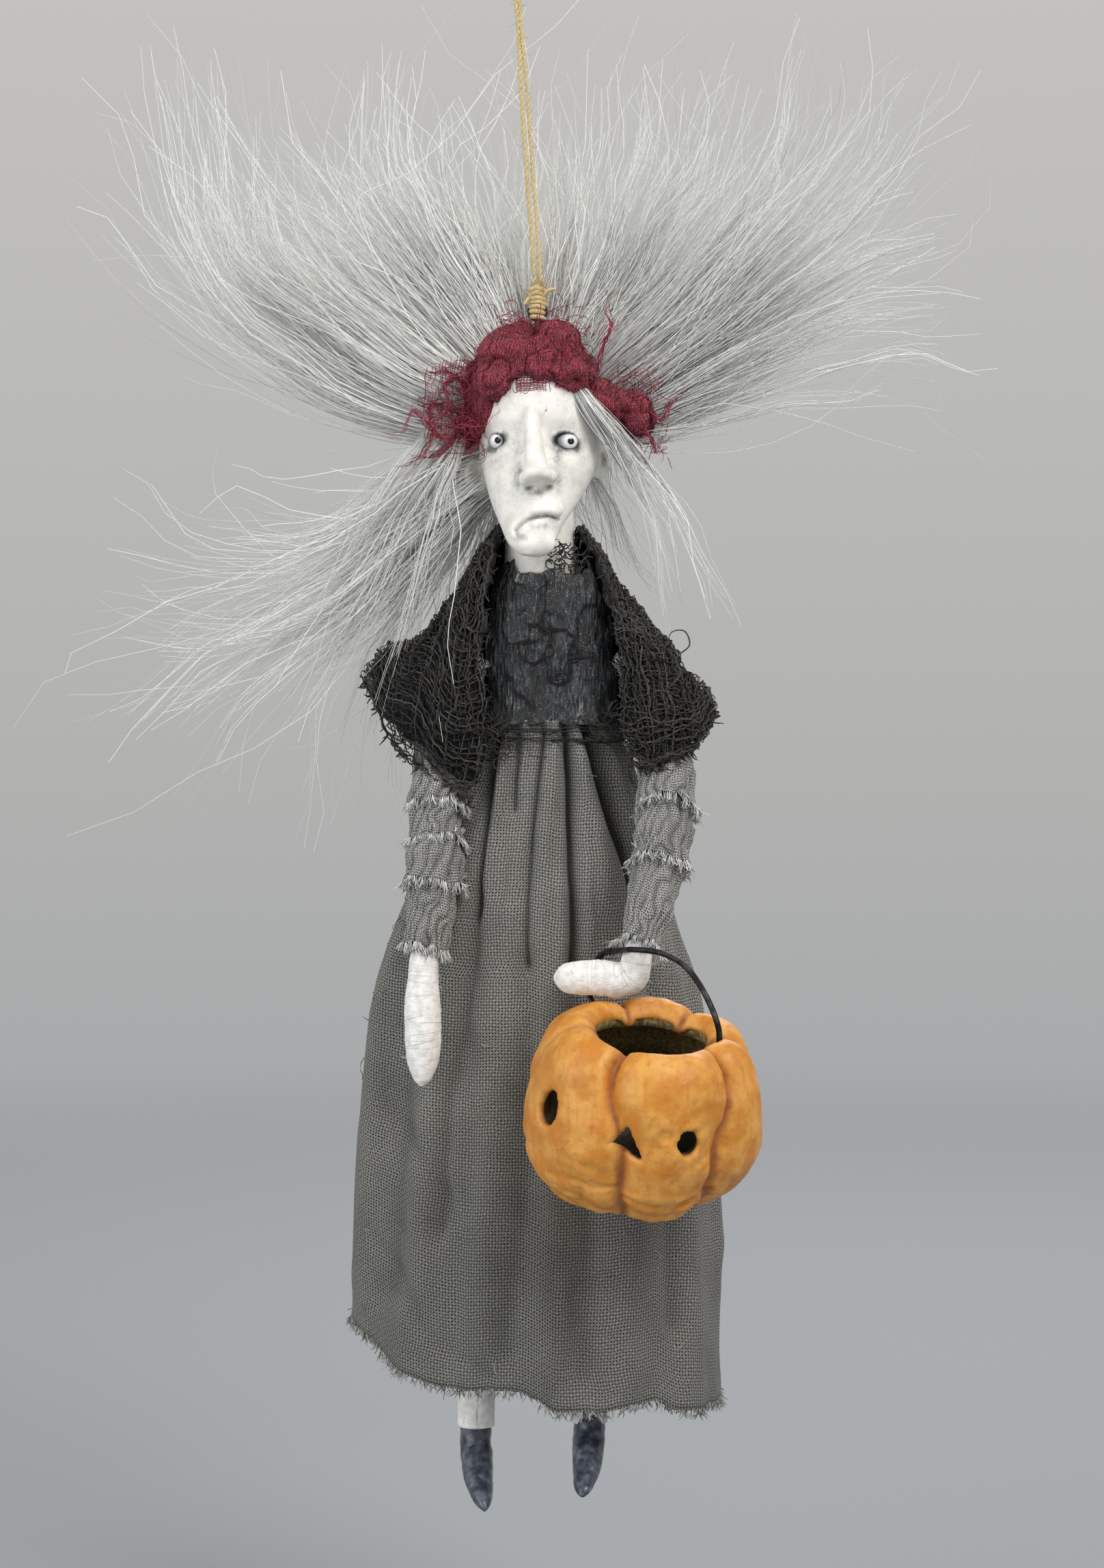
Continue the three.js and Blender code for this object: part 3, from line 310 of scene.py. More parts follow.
def rings_along(route, rows, steps, sides, thin=(0, 1, 0), span=(0, 1)):
    """Oval rings along a curve. rows are [share, half width, half thickness], the thickness along thin."""
    shares = np.linspace(span[0], span[1], steps + 1)
    centre = spline(route, shares)
    ahead = unit(spline(route, shares + 0.004) - spline(route, shares - 0.004))
    across = unit(np.cross(ahead, np.asarray(thin, float)))
    depth = unit(np.cross(across, ahead))
    half = profile(rows, shares)
    turn = turns(sides)
    wide = half[:, 0, None, None] * across[:, None] * np.cos(turn)[None, :, None]
    deep = half[:, 1, None, None] * depth[:, None] * np.sin(turn)[None, :, None]
    return centre[:, None] + wide + deep


def surface_normals(grid):
    """Outward or inward unit normals of a grid of points."""
    down = np.gradient(grid, axis=0)
    along = np.gradient(grid, axis=1)
    return unit(np.cross(down, along))


def on_grid(grid, rows, columns):
    """Points between a grid's points, at fractional rows and columns."""
    rows = np.clip(rows, 0, grid.shape[0] - 1.001)
    columns = np.clip(columns, 0, grid.shape[1] - 1.001)
    row, column = rows.astype(int), columns.astype(int)
    down, along = (rows - row)[..., None], (columns - column)[..., None]
    top = grid[row, column] * (1 - along) + grid[row, column + 1] * along
    bottom = grid[row + 1, column] * (1 - along) + grid[row + 1, column + 1] * along
    return top * (1 - down) + bottom * down


def skin(ribs, rows, columns):
    """A grid of points on the smooth surface through ribs, each a list of as many points."""
    across = np.linspace(0, 1, columns)
    fine = np.stack([spline(rib, rows) for rib in ribs], 1)
    return np.stack([spline(row, across) for row in fine])


# Threads


class Nodes:
    """A node tree whose nodes are added and linked by short calls."""

    def __init__(self, tree):
        self.tree = tree

    def add(self, kind, inputs=(), **settings):
        node = self.tree.nodes.new(kind)
        for key, value in settings.items():
            setattr(node, key, value)
        for key, value in dict(inputs).items():
            self.put(node.inputs[key], value)
        return node

    def put(self, socket, value):
        if isinstance(value, bpy.types.NodeSocket):
            self.tree.links.new(value, socket)
        else:
            socket.default_value = value


def thread_tree():
    """Geometry Nodes that turn lines of points into tapered round threads with one material."""
    tree = bpy.data.node_groups.get("Threads")
    if tree:
        return tree
    tree = bpy.data.node_groups.new("Threads", "GeometryNodeTree")
    for name, way, kind in (
        ("Lines", "INPUT", "Geometry"),
        ("Thickness", "INPUT", "Float"),
        ("Sides", "INPUT", "Int"),
        ("Material", "INPUT", "Material"),
        ("Threads", "OUTPUT", "Geometry"),
    ):
        tree.interface.new_socket(name, in_out=way, socket_type=f"NodeSocket{kind}")
    nodes = Nodes(tree)
    given = nodes.add("NodeGroupInput").outputs
    curves = nodes.add("GeometryNodeMeshToCurve", {"Mesh": given["Lines"]})
    taper = nodes.add("GeometryNodeInputNamedAttribute", {"Name": "taper"}, data_type="FLOAT")
    half = nodes.add("ShaderNodeMath", {0: given["Thickness"], 1: 0.5}, operation="MULTIPLY")
    section = nodes.add(
        "GeometryNodeCurvePrimitiveCircle", {"Resolution": given["Sides"], "Radius": half.outputs[0]}
    )
    tubes = nodes.add(
        "GeometryNodeCurveToMesh",
        {
            "Curve": curves.outputs[0],
            "Profile Curve": section.outputs["Curve"],
            "Scale": taper.outputs["Attribute"],
            "Fill Caps": True,
        },
    )
    coated = nodes.add(
        "GeometryNodeSetMaterial", {"Geometry": tubes.outputs[0], "Material": given["Material"]}
    )
    nodes.add("NodeGroupOutput", {0: coated.outputs[0]})
    return tree


def threads(name, lines, thickness, material, sides=3, taper=None, shade=None, seed=1):
    """Round threads along lines of points in millimetres. taper and shade have a value for each point."""
    lines = [np.asarray(line, float) for line in lines]
    counts = np.array([len(line) for line in lines])
    points = np.concatenate(lines)
    starts = np.concatenate([[0], np.cumsum(counts)[:-1]])
    index = np.arange(len(points) - 1)
    index = np.delete(index, starts[1:] - 1)
    mesh = bpy.data.meshes.new(name)
    mesh.from_pydata((points * MM).tolist(), np.stack([index, index + 1], -1).tolist(), [])
    if taper is None:
        taper = [np.interp(np.linspace(0, 1, count), [0, 0.6, 1], [1, 1, 0.45]) for count in counts]
    if shade is None:
        shades = np.random.default_rng(seed * 10).uniform(0, 1, len(lines))
        shade = [np.full(count, value) for count, value in zip(counts, shades)]
    paint_points(mesh, "taper", np.concatenate([np.ravel(part) for part in taper]))
    paint_points(mesh, "shade", np.concatenate([np.ravel(part) for part in shade]))
    piece = bpy.data.objects.new(name, mesh)
    bpy.context.scene.collection.objects.link(piece)
    modifier = piece.modifiers.new("Threads", "NODES")
    modifier.node_group = thread_tree()
    values = {"Thickness": thickness * MM, "Sides": sides, "Material": material}
    for item in modifier.node_group.interface.items_tree:
        if item.name in values:
            modifier[item.identifier] = values[item.name]
    return plain(piece)


def curls(random, start, direction, length, step=0.5, curl=0.6):
    """A thread that wanders from a start, turning a little at each step."""
    count = max(4, int(length / step))
    heading = unit(np.asarray(direction, float))
    spin = unit(random.normal(size=3))
    points = [np.asarray(start, float)]
    for _ in range(count):
        spin = unit(spin + random.normal(size=3) * 0.35)
        heading = unit(heading + np.cross(spin, heading) * curl)
        points.append(points[-1] + heading * step)
    return np.array(points)


# Finishes


def tint(red, green, blue):
    """A colour as it looks on screen, turned into the linear one that a shader takes."""
    linear = [
        part / 12.92 if part <= 0.04045 else ((part + 0.055) / 1.055) ** 2.4 for part in (red, green, blue)
    ]
    return (*linear, 1.0)


class Finish(Nodes):
    """A material with one principled shader. Colours are given as they look on screen."""

    def __init__(self, name, roughness=0.8, **shader):
        self.material = bpy.data.materials.new(name)
        self.material.use_nodes = True
        super().__init__(self.material.node_tree)
        self.shader = self.tree.nodes["Principled BSDF"]
        self.shader.inputs["Roughness"].default_value = roughness
        for key, value in shader.items():
            self.shader.inputs[key.replace("_", " ")].default_value = value

    def math(self, operation, first, second=0.0, third=0.0, clamp=False):
        inputs = {0: first, 1: second, 2: third}
        return self.add("ShaderNodeMath", inputs, operation=operation, use_clamp=clamp).outputs[0]

    def times(self, first, second):
        return self.math("MULTIPLY", first, second)

    def shifted(self, value, strength, start, middle=0.5, clamp=False):
        """A start value moved up where a value is over its middle, and down where it is under."""
        return self.math("MULTIPLY_ADD", self.math("SUBTRACT", value, middle), strength, start, clamp)

    def vector(self, operation, first, second):
        inputs = {0: first, "Scale" if operation == "SCALE" else 1: second}
        return self.add("ShaderNodeVectorMath", inputs, operation=operation).outputs[0]

    def mix(self, share, first, second):
        first, second = (tint(*one) if isinstance(one, tuple) else one for one in (first, second))
        return self.add("ShaderNodeMix", {0: share, 6: first, 7: second}, data_type="RGBA").outputs[2]

    def cloud(self, place, scale, detail):
        return self.add("ShaderNodeTexNoise", {"Vector": place, "Scale": scale, "Detail": detail}).outputs

    def noise(self, size, detail=3.0, stretch=(1, 1, 1)):
        """Soft noise in lumps of one size, stretched along the axes."""
        place = self.add("ShaderNodeTexCoord").outputs["Object"]
        scale = tuple(1 / (size * MM * part) for part in stretch)
        mapped = self.add("ShaderNodeMapping", {"Vector": place, "Scale": scale}).outputs[0]
        return self.cloud(mapped, 1.0, detail)["Fac"]

    def band(self, value, low, high):
        """0 below low and 1 above high."""
        inputs = {"Value": value, "From Min": low, "From Max": high}
        return self.add("ShaderNodeMapRange", inputs, interpolation_type="SMOOTHSTEP").outputs[0]

    def value(self, name):
        return self.add("ShaderNodeAttribute", attribute_name=name).outputs["Fac"]

    def colour(self, socket):
        self.put(self.shader.inputs["Base Color"], socket)

    def bump(self, height, depth):
        inputs = {"Height": height, "Distance": depth * MM, "Strength": 1.0}
        self.put(self.shader.inputs["Normal"], self.add("ShaderNodeBump", inputs).outputs[0])


def thread_finish(name, dark, light, roughness):
    """Threads and strands, each with its own shade between two colours."""
    finish = Finish(name, roughness)
    share = finish.shifted(finish.noise(0.6, 2.0), 0.7, finish.value("shade"), clamp=True)
    finish.colour(finish.mix(share, dark, light))
    return finish.material


def weave_finish(name, dark, light, pitch, stain=None, roughness=0.9):
    """Plain-woven cloth on the UV map, in millimetres: light threads with painted shade in the gaps between
    them, the threads that lie on top painted lighter, and painted shade in the creases that an attribute
    marks.
    """
    finish = Finish(name, roughness, Sheen_Weight=0.1)
    uv = finish.add("ShaderNodeUVMap", uv_map="Cloth").outputs[0]
    bend = finish.vector("SUBTRACT", finish.cloud(uv, 0.35, 2.0)["Color"], (0.5, 0.5, 0.5))
    place = finish.vector("ADD", uv, finish.vector("SCALE", bend, 0.7))
    parts = finish.add("ShaderNodeSeparateXYZ", {0: place}).outputs
    warp, weft = (finish.math("COSINE", finish.times(parts[axis], math.pi / pitch)) for axis in (0, 1))
    # Painted shade: the gaps between the threads take the near-black colour, and the threads on top are
    # painted lighter than those under them.
    mesh = finish.math("MAXIMUM", finish.math("ABSOLUTE", warp), finish.math("ABSOLUTE", weft))
    top = finish.band(finish.times(warp, weft), -0.2, 0.2)
    bright = finish.times(finish.band(mesh, 0.5, 0.95), finish.math("MULTIPLY_ADD", top, 0.2, 0.72))
    bright = finish.shifted(finish.cloud(uv, 1.7, 3.0)["Fac"], 0.6, bright, clamp=True)
    cloth = finish.mix(bright, dark, light)
    worn = finish.times(finish.band(finish.noise(9.0), 0.62, 0.35), 0.15)
    cloth = finish.mix(worn, cloth, tuple(part * 0.8 for part in dark))
    if stain:
        cloth = finish.mix(finish.times(finish.value("stain"), 0.4), cloth, stain)
    # Painted shade: the cloth darkens where the attribute marks creases and other shaded places.
    finish.colour(finish.mix(finish.value("crease"), cloth, tuple(part * 0.6 for part in dark)))
    finish.bump(mesh, 0.14)
    return finish.material


def fibre_finish(name):
    """White fibre wound round a form, in soft uneven turns."""
    finish = Finish(name, 0.85, Sheen_Weight=0.2)
    soft = finish.times(finish.noise(1.4), 0.6)
    fine = finish.math("MULTIPLY_ADD", finish.noise(0.3, stretch=(3, 1, 0.6)), 0.4, soft)
    share = finish.band(fine, 0.34, 0.58)
    finish.colour(finish.mix(share, (0.88, 0.875, 0.86), (0.99, 0.985, 0.97)))
    finish.bump(share, 0.05)
    return finish.material


def clay_finish(name):
    """Painted white clay, with the grey washes and painted shade of one attribute, and the dark lines and
    painted shade of the dark one.
    """
    finish = Finish(name, 0.6)
    fine = finish.noise(0.6, 4.0)
    blotch = finish.band(finish.noise(3.2, 4.0), 0.4, 0.75)
    paint = finish.mix(blotch, (1.0, 0.99, 0.965), (0.91, 0.905, 0.87))
    paint = finish.mix(finish.times(finish.band(fine, 0.52, 0.75), 0.25), paint, (0.74, 0.74, 0.73))
    # Grey washes of the paint, together with painted shade in hollows, under the nose and mouth and at the
    # face's edges.
    wash_and_shade = finish.band(finish.shifted(fine, 0.55, finish.value("wash_and_shade")), 0.06, 1.05)
    paint = finish.mix(finish.times(wash_and_shade, 0.85), paint, (0.29, 0.31, 0.35))
    finish.colour(finish.mix(finish.value("dark"), paint, (0.06, 0.06, 0.07)))
    finish.bump(finish.noise(0.5), 0.04)
    return finish.material


def eye_finish(name):
    """A glossy white ball with a dark pupil, painted grey towards its edges as shade and lighter in the
    pupil's middle as a painted reflection. The gaze attribute is the distance from the pupil's middle.
    """
    finish = Finish(name, 0.12)
    away = finish.value("gaze")
    # Painted shade: the white turns grey towards the ball's edges.
    ball = finish.mix(finish.band(away, 1.0, 2.0), (0.97, 0.97, 0.96), (0.68, 0.68, 0.72))
    # Painted reflection: the pupil's middle is lighter than its rim.
    pupil = finish.mix(finish.band(away, 0.1, 0.36), (0.24, 0.24, 0.26), (0.03, 0.03, 0.04))
    finish.colour(finish.mix(finish.band(away, 0.58, 0.72), pupil, ball))
    return finish.material


def bodice_finish(name):
    """Dark painted gauze in fine vertical crinkles, worn pale at its edges, with a little glitter whose
    glints are painted as pale specks.
    """
    finish = Finish(name, 0.5)
    ribs = finish.noise(0.45, 4.0, stretch=(1, 1, 6))
    patch = finish.noise(3.2, 4.0, stretch=(1, 1, 1.5))
    share = finish.band(ribs, 0.4, 0.64)
    cloth = finish.mix(share, (0.06, 0.065, 0.075), (0.27, 0.285, 0.31))
    cloth = finish.mix(finish.times(finish.band(patch, 0.48, 0.56), 0.6), cloth, (0.06, 0.06, 0.065))
    grain = finish.math("ADD", finish.times(finish.noise(0.3), 0.4), finish.times(ribs, 0.6))
    worn = finish.band(finish.shifted(grain, 4.5, finish.value("worn")), 0.6, 1.3)
    cloth = finish.mix(finish.times(worn, 0.6), cloth, (0.68, 0.68, 0.66))
    # Painted glints: pale specks stand for the glitter catching the light.
    glitter_glint = finish.math("GREATER_THAN", finish.noise(0.16, 0.0), 0.79)
    finish.colour(finish.mix(glitter_glint, cloth, (0.85, 0.88, 0.9)))
    finish.bump(share, 0.16)
    return finish.material


def pumpkin_finish(name, light):
    """Orange ochre paint, redder in the grooves, dull olive fibre inside, with painted shade that darkens
    the fibre lower down.
    """
    finish = Finish(name, 0.48)
    blotch = finish.noise(5.0, 4.0)
    fine = finish.noise(1.1, 5.0)
    streak = finish.noise(1.2, 4.0, stretch=(1, 1, 6))
    paint = finish.mix(finish.band(blotch, 0.35, 0.65), (0.82, 0.53, 0.17), light)
    paint = finish.mix(finish.times(finish.band(streak, 0.45, 0.7), 0.45), paint, (0.84, 0.47, 0.14))
    paint = finish.mix(finish.times(finish.band(fine, 0.54, 0.74), 0.4), paint, (0.66, 0.4, 0.16))
    groove = finish.band(finish.shifted(blotch, 2.2, finish.value("groove"), middle=0.55), 0.15, 1.1)
    paint = finish.mix(finish.times(groove, 0.8), paint, (0.5, 0.19, 0.09))
    strand = finish.band(finish.noise(0.5, 4.0, stretch=(1, 1, 5)), 0.35, 0.65)
    fibre = finish.mix(strand, (0.44, 0.38, 0.24), (0.72, 0.64, 0.44))
    # Painted shade: the fibre darkens towards black low inside the pumpkin.
    fibre = finish.mix(finish.times(finish.value("deep"), 0.9), fibre, (0.09, 0.07, 0.045))
    paint = finish.mix(finish.value("inside"), paint, fibre)
    finish.colour(finish.mix(finish.value("cut"), paint, (0.16, 0.09, 0.04)))
    finish.bump(finish.math("ADD", finish.times(blotch, 0.7), finish.times(fine, 0.5)), 0.25)
    return finish.material


def boot_finish(name, light):
    """Glossy slate-blue paint, mottled."""
    finish = Finish(name, 0.28)
    share = finish.band(finish.noise(1.8, 4.0), 0.35, 0.7)
    finish.colour(finish.mix(share, (0.2, 0.225, 0.265), light))
    finish.bump(finish.noise(1.4), 0.1)
    return finish.material


def plain_finish(name, dark, light, size, roughness, **shader):
    """One paint or material with soft mottling."""
    finish = Finish(name, roughness, **shader)
    share = finish.band(finish.noise(size, 4.0), 0.35, 0.68)
    finish.colour(finish.mix(share, dark, light))
    finish.bump(share, 0.05)
    return finish.material


def shade_layer_finish(name, dark, light):
    """A near-black crumpled sheet under the net's threads: painted shade for the net's gaps and deeper
    layers, lighter on the crumples' crests.
    """
    finish = Finish(name, 0.95)
    crease = finish.noise(1.6, 4.0)
    finish.colour(finish.mix(finish.band(crease, 0.4, 0.75), dark, light))
    finish.bump(crease, 0.3)
    return finish.material


def scarf_finish(name, light):
    """Burgundy gauze: fine gaps painted dark as shade run down it between lighter threads, crossed by
    weaker ones.
    """
    finish = Finish(name, 0.85, Sheen_Weight=0.1)
    place = finish.vector("SCALE", finish.add("ShaderNodeTexCoord").outputs["Object"], 1 / MM)
    bend = finish.vector("SCALE", finish.cloud(place, 0.4, 2.0)["Color"], 2.2)
    parts = finish.add("ShaderNodeSeparateXYZ", {0: finish.vector("ADD", place, bend)}).outputs
    across = finish.math("MULTIPLY_ADD", parts[1], -0.7, parts[0])
    lines, rungs = (
        finish.math("ABSOLUTE", finish.math("SINE", finish.times(way, math.pi / gap)))
        for way, gap in ((across, 0.54), (parts[2], 0.62))
    )
    # Painted shade: the gaps between the threads take the dark colour.
    woven = finish.times(finish.band(lines, 0.15, 0.75), finish.math("MULTIPLY_ADD", rungs, 0.45, 0.55))
    patch = finish.shifted(finish.noise(2.6), 1.1, woven, clamp=True)
    finish.colour(finish.mix(patch, (0.19, 0.03, 0.07), light))
    finish.bump(woven, 0.22)
    return finish.material


# Stage


def make_stage(settings):
    """A pale floor that fades into a pale surround, and soft light mostly from the upper right front."""
    scene = bpy.context.scene
    scene.view_settings.view_transform = "Standard"
    scene.view_settings.look = "None"
    paint = Finish("Floor", 0.95)
    paint.colour(tint(0.6, 0.615, 0.63))
    place = paint.add("ShaderNodeTexCoord").outputs["Object"]
    away = paint.add("ShaderNodeVectorMath", {0: place}, operation="LENGTH").outputs["Value"]
    clear = paint.add("ShaderNodeBsdfTransparent").outputs[0]
    fade = paint.band(away, 0.38, 1.5)
    faded = paint.add("ShaderNodeMixShader", {0: fade, 1: paint.shader.outputs[0], 2: clear})
    paint.put(paint.tree.nodes["Material Output"].inputs["Surface"], faded.outputs[0])
    floor = Form()
    side = np.linspace(-2000, 2000, 9)
    floor.grid(np.stack([*np.meshgrid(side, side), np.full((9, 9), -345.0)], -1))
    ground = floor.make("Floor", paint.material)
    for name, spot, size, power, colour in (
        ("Key", (0.55, -0.75, 0.55), 0.5, settings.key_light, (1.0, 0.98, 0.95)),
        ("Fill", (-0.9, -0.7, 0.1), 0.9, settings.fill_light, (0.98, 0.99, 1.0)),
        ("Rim", (0.2, 0.8, 0.55), 0.7, settings.fill_light, (1.0, 1.0, 1.0)),
    ):
        light = bpy.data.lights.new(name, "AREA")
        light.size, light.energy, light.color = size, power, colour
        lamp = bpy.data.objects.new(name, light)
        scene.collection.objects.link(lamp)
        lamp.location = spot
        aim = Vector((0.008, 0.0, -0.17)) - lamp.location
        lamp.rotation_euler = aim.to_track_quat("-Z", "Y").to_euler()
    make_surround(scene, settings)
    camera = bpy.data.objects.new("Camera", bpy.data.cameras.new("Camera"))
    scene.collection.objects.link(camera)
    camera.location = (0.0076, -0.6, -0.16507)
    camera.rotation_euler = (math.pi / 2, 0, 0)
    camera.data.sensor_fit = "VERTICAL"
    camera.data.sensor_height = 24.0
    camera.data.lens = 47.04
    camera.data.clip_start = 0.01
    scene.camera = camera


def make_surround(scene, settings):
    """An even light from all round, seen as a soft grey that is warmer above and bluer below."""
    world = bpy.data.worlds.new("Studio")
    scene.world = world
    world.use_nodes = True
    nodes = Nodes(world.node_tree)
    even = world.node_tree.nodes["Background"]
    nodes.put(even.inputs["Color"], tint(0.81, 0.81, 0.805))
    nodes.put(even.inputs["Strength"], settings.world_light)
    heading = nodes.add("ShaderNodeTexCoord").outputs["Generated"]
    rise = nodes.add("ShaderNodeSeparateXYZ", {0: heading}).outputs["Z"]
    height = nodes.add("ShaderNodeMapRange", {"Value": rise, "From Min": -0.25, "From Max": 0.25})
    ramp = nodes.add("ShaderNodeValToRGB", {0: height.outputs[0]})
    colours = ramp.color_ramp.elements
    colours[0].color = tint(0.585, 0.607, 0.635)
    colours[1].color = tint(0.765, 0.76, 0.745)
    colours.new(0.5).color = tint(0.695, 0.695, 0.69)
    seen = nodes.add("ShaderNodeBackground", {"Color": ramp.outputs[0]}).outputs[0]
    path = nodes.add("ShaderNodeLightPath").outputs
    ways = {0: path["Is Camera Ray"], 1: path["Is Glossy Ray"]}
    direct = nodes.add("ShaderNodeMath", ways, operation="MAXIMUM").outputs[0]
    choice = nodes.add("ShaderNodeMixShader", {0: direct, 1: even.outputs[0], 2: seen})
    nodes.put(world.node_tree.nodes["World Output"].inputs["Surface"], choice.outputs[0])


# Twine and its knot


TWINE_ROUTE = [
    (4.2, 0.5, -67.3), (4.2, 0.5, -66.4), (2.875, 0.362, -48.721), (1.51, 0.22, -29.579),
    (0.185, 0.082, -11), (-2.52, 0, -5.72), (-2.82, 0, -2.75), (0, 0, 0.45),
    (2.82, 0, -2.75), (2.52, 0, -5.72), (1.385, 0.082, -11), (2.71, 0.22, -29.579),
    (4.075, 0.362, -48.721), (5.4, 0.5, -66.4), (5.4, 0.5, -67.3),
]


def tube(line, radius, sides=8):
    """Rings round a line of points, carried along it without twist."""
    line = np.asarray(line, float)
    ahead = unit(np.gradient(line, axis=0))
    side = unit(np.cross(ahead[0], (0.31, 0.22, 1.0)))
    turn = turns(sides)[:, None]
    rings = []
    for point, heading, half in zip(line, ahead, np.broadcast_to(radius, len(line))):
        side = unit(side - heading * side.dot(heading))
        other = np.cross(heading, side)
        rings.append(point + half * (np.cos(turn) * side + np.sin(turn) * other))
    return np.array(rings)


def plies(line, radius, ply, lay_length):
    """The two strands of a cord that are laid round its line."""
    ahead = unit(np.gradient(line, axis=0))
    side = unit(np.cross(ahead, (0.02, 1.0, 0.01)))
    other = np.cross(ahead, side)
    travel = np.concatenate([[0], np.cumsum(np.linalg.norm(np.diff(line, axis=0), axis=1))])
    strands = []
    for start in (0, 0.5):
        turn = (2 * np.pi * (travel / lay_length + start))[:, None]
        strands.append(tube(line + ply * (np.cos(turn) * side + np.sin(turn) * other), radius))
    return strands


def make_twine(settings):
    """The doubled twine, laid from two strands, and the knot that ties it to the crown."""
    finish = thread_finish("Twine", (0.5, 0.4, 0.24), (0.9, 0.82, 0.62), 0.9)
    line = spline(TWINE_ROUTE, 700)
    cord = Form()
    for strand in plies(line, 0.25 * settings.twine_width / 0.9, 0.2, 2.6):
        cord.loft(strand, shade=0.75)
    twine = cord.make("hanging_twine_look", finish)
    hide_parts("hanging_twine")
    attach(twine, "doll")
    knot = Form()
    middle = np.array([4.8, 0.5, -69.4])
    turn = np.linspace(0, 14 * np.pi, 280)
    girth = np.interp(turn, [0, 2, 30, 44], [1.0, 1.3, 1.35, 1.1])
    wrap = np.stack([girth * np.cos(turn), 0.95 * girth * np.sin(turn), 1.5 - 0.44 * turn / np.pi], -1)
    wrap += 0.3 * drift(wrap, 1.5, 3)
    knot.loft(tube(middle + wrap, 0.48), shade=0.8)
    knot.loft(tube(middle + [[-0.4, 0, 1.7], [0.2, -0.3, 0], [0.3, 0, -2.6]], 1.0), shade=0.6)
    for start, end in (((1, -0.6, -0.6), (3.6, -1.6, 0.8)), ((-1, 0.4, -0.8), (-2.6, -1.0, -2.2))):
        tail = spline([start, (np.array(start) + end) / 2 + (0, -0.6, 0.5), end], 14)
        knot.loft(tube(middle + tail, np.linspace(0.45, 0.3, 14)), shade=0.8)
    knot = knot.make("twine_knot_look", finish)
    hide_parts("twine_knot")
    random = np.random.default_rng(5)
    fuzz = []
    for _ in range(340):
        place = line[random.integers(4, len(line) - 4)]
        way = random.normal(size=3) + (0, 0, -1.2)
        fuzz.append(curls(random, place, way, random.uniform(1, 3.4), 0.4, 0.35))
    for _ in range(110):
        place = middle + random.normal(size=3) * (0.7, 0.5, 1.0)
        way = random.normal(size=3) + (0, -0.4, -0.5)
        fuzz.append(curls(random, place, way, random.uniform(2, 6), 0.5))
    fuzz = threads("twine_fibres", fuzz, 0.06, finish, seed=7)
    for piece in (knot, fuzz):
        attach(piece, "doll")


# Head


HEAD_AT = np.array([5.2, 0.0, -75.3])
HEAD_HEIGHT = 46.0
HEAD_TURN = math.radians(-5)
HEAD_ROWS = [
    [0, 0.1, -0.1, 0.18, 0], [0.03, 0.4, -0.36, 0.46, 0], [0.12, 0.72, -0.7, 0.82, 0],
    [0.25, 0.88, -0.87, 1, 0], [0.37, 0.94, -0.93, 1.04, 0], [0.485, 1, -0.88, 0.97, 0],
    [0.6, 0.95, -0.9, 0.8, 0], [0.68, 0.84, -0.93, 0.6, -0.02], [0.76, 0.71, -0.96, 0.34, -0.05],
    [0.87, 0.5, -1.02, -0.16, -0.07], [0.95, 0.36, -1.06, -0.5, -0.06], [1, 0.16, -1, -0.72, -0.05],
]
# Eyes: place to the right and below the crown, half width and half height of the opening
EYES = {"eye_left": (-7.5, 23.6, 1.2, 1.05), "eye_right": (6.0, 23.9, 1.7, 1.2)}
# How far each pupil is to the right of its eye's middle and below it
GAZES = {"eye_left": (0.1, 0.0), "eye_right": (0.8, 0.1)}
MOUTH = [(-3.4, 41.4), (-2.0, 40.1), (0.0, 39.0), (1.7, 38.65), (3.2, 38.65), (4.4, 39.0)]
# Grey smudges painted on the face: place to the right and below the crown, size, strength. Those under the
# nose and the mouth, at the right eye's outer corner and at the cheeks' outer edges are painted shade.
SMUDGES = [
    ((-3.3, 25.2), (1.5, 3), 0.5), ((-2.9, 31.4), (1.2, 3), 0.75), ((4.3, 27.4), (1.4, 3.6), 0.6),
    ((4.6, 32.2), (1.4, 2.2), 0.5), ((0.9, 34), (2.8, 1), 0.65), ((-2.4, 42.6), (2.2, 1.1), 0.6),
    ((1.6, 40.6), (3, 0.9), 0.4), ((-8.6, 25.2), (1.3, 0.9), 0.9), ((-6, 22.8), (0.9, 1.2), 0.8),
    ((-8.2, 27.4), (2, 1.6), 0.4), ((8, 25), (0.8, 1.2), 1), ((8.6, 27.2), (1.4, 1.4), 0.3),
    ((-10.8, 33), (1.8, 4), 0.45), ((10.8, 31), (1.4, 4), 0.2), ((-5.8, 33.5), (1.6, 3), 0.3),
    ((-3, 20), (1.8, 1.4), 0.25), ((4.4, 44.6), (1.6, 1.2), 0.4), ((-7, 38), (1, 3), 0.3),
]


def turned(points, angle):
    """Points turned about the vertical axis."""
    cosine, sine = math.cos(angle), math.sin(angle)
    points = np.asarray(points, float)
    x, y, z = points[..., 0], points[..., 1], points[..., 2]
    return np.stack([cosine * x - sine * y, sine * x + cosine * y, z], -1)


def from_face(places):
    """World points from places on the head: to the right, forward and below the crown."""
    places = np.asarray(places, float)
    return turned(places * (1, -1, -1), HEAD_TURN) + HEAD_AT


def to_face(points):
    """The other way round."""
    return turned(points - HEAD_AT, -HEAD_TURN) * (1, -1, -1)


def line_distance(flat, line):
    """Distance of flat points from a broken line."""
    best = np.full(len(flat), 1e9)
    for start, end in zip(np.asarray(line[:-1], float), np.asarray(line[1:], float)):
        along = end - start
        share = np.clip(((flat - start) @ along) / max(along @ along, 1e-9), 0, 1)
        best = np.minimum(best, np.linalg.norm(flat - start - share[:, None] * along, axis=1))
    return best


def hill_line(away, width):
    """A soft ridge on both sides of a fold line."""
    return bell(away - 1.8 * width, width)


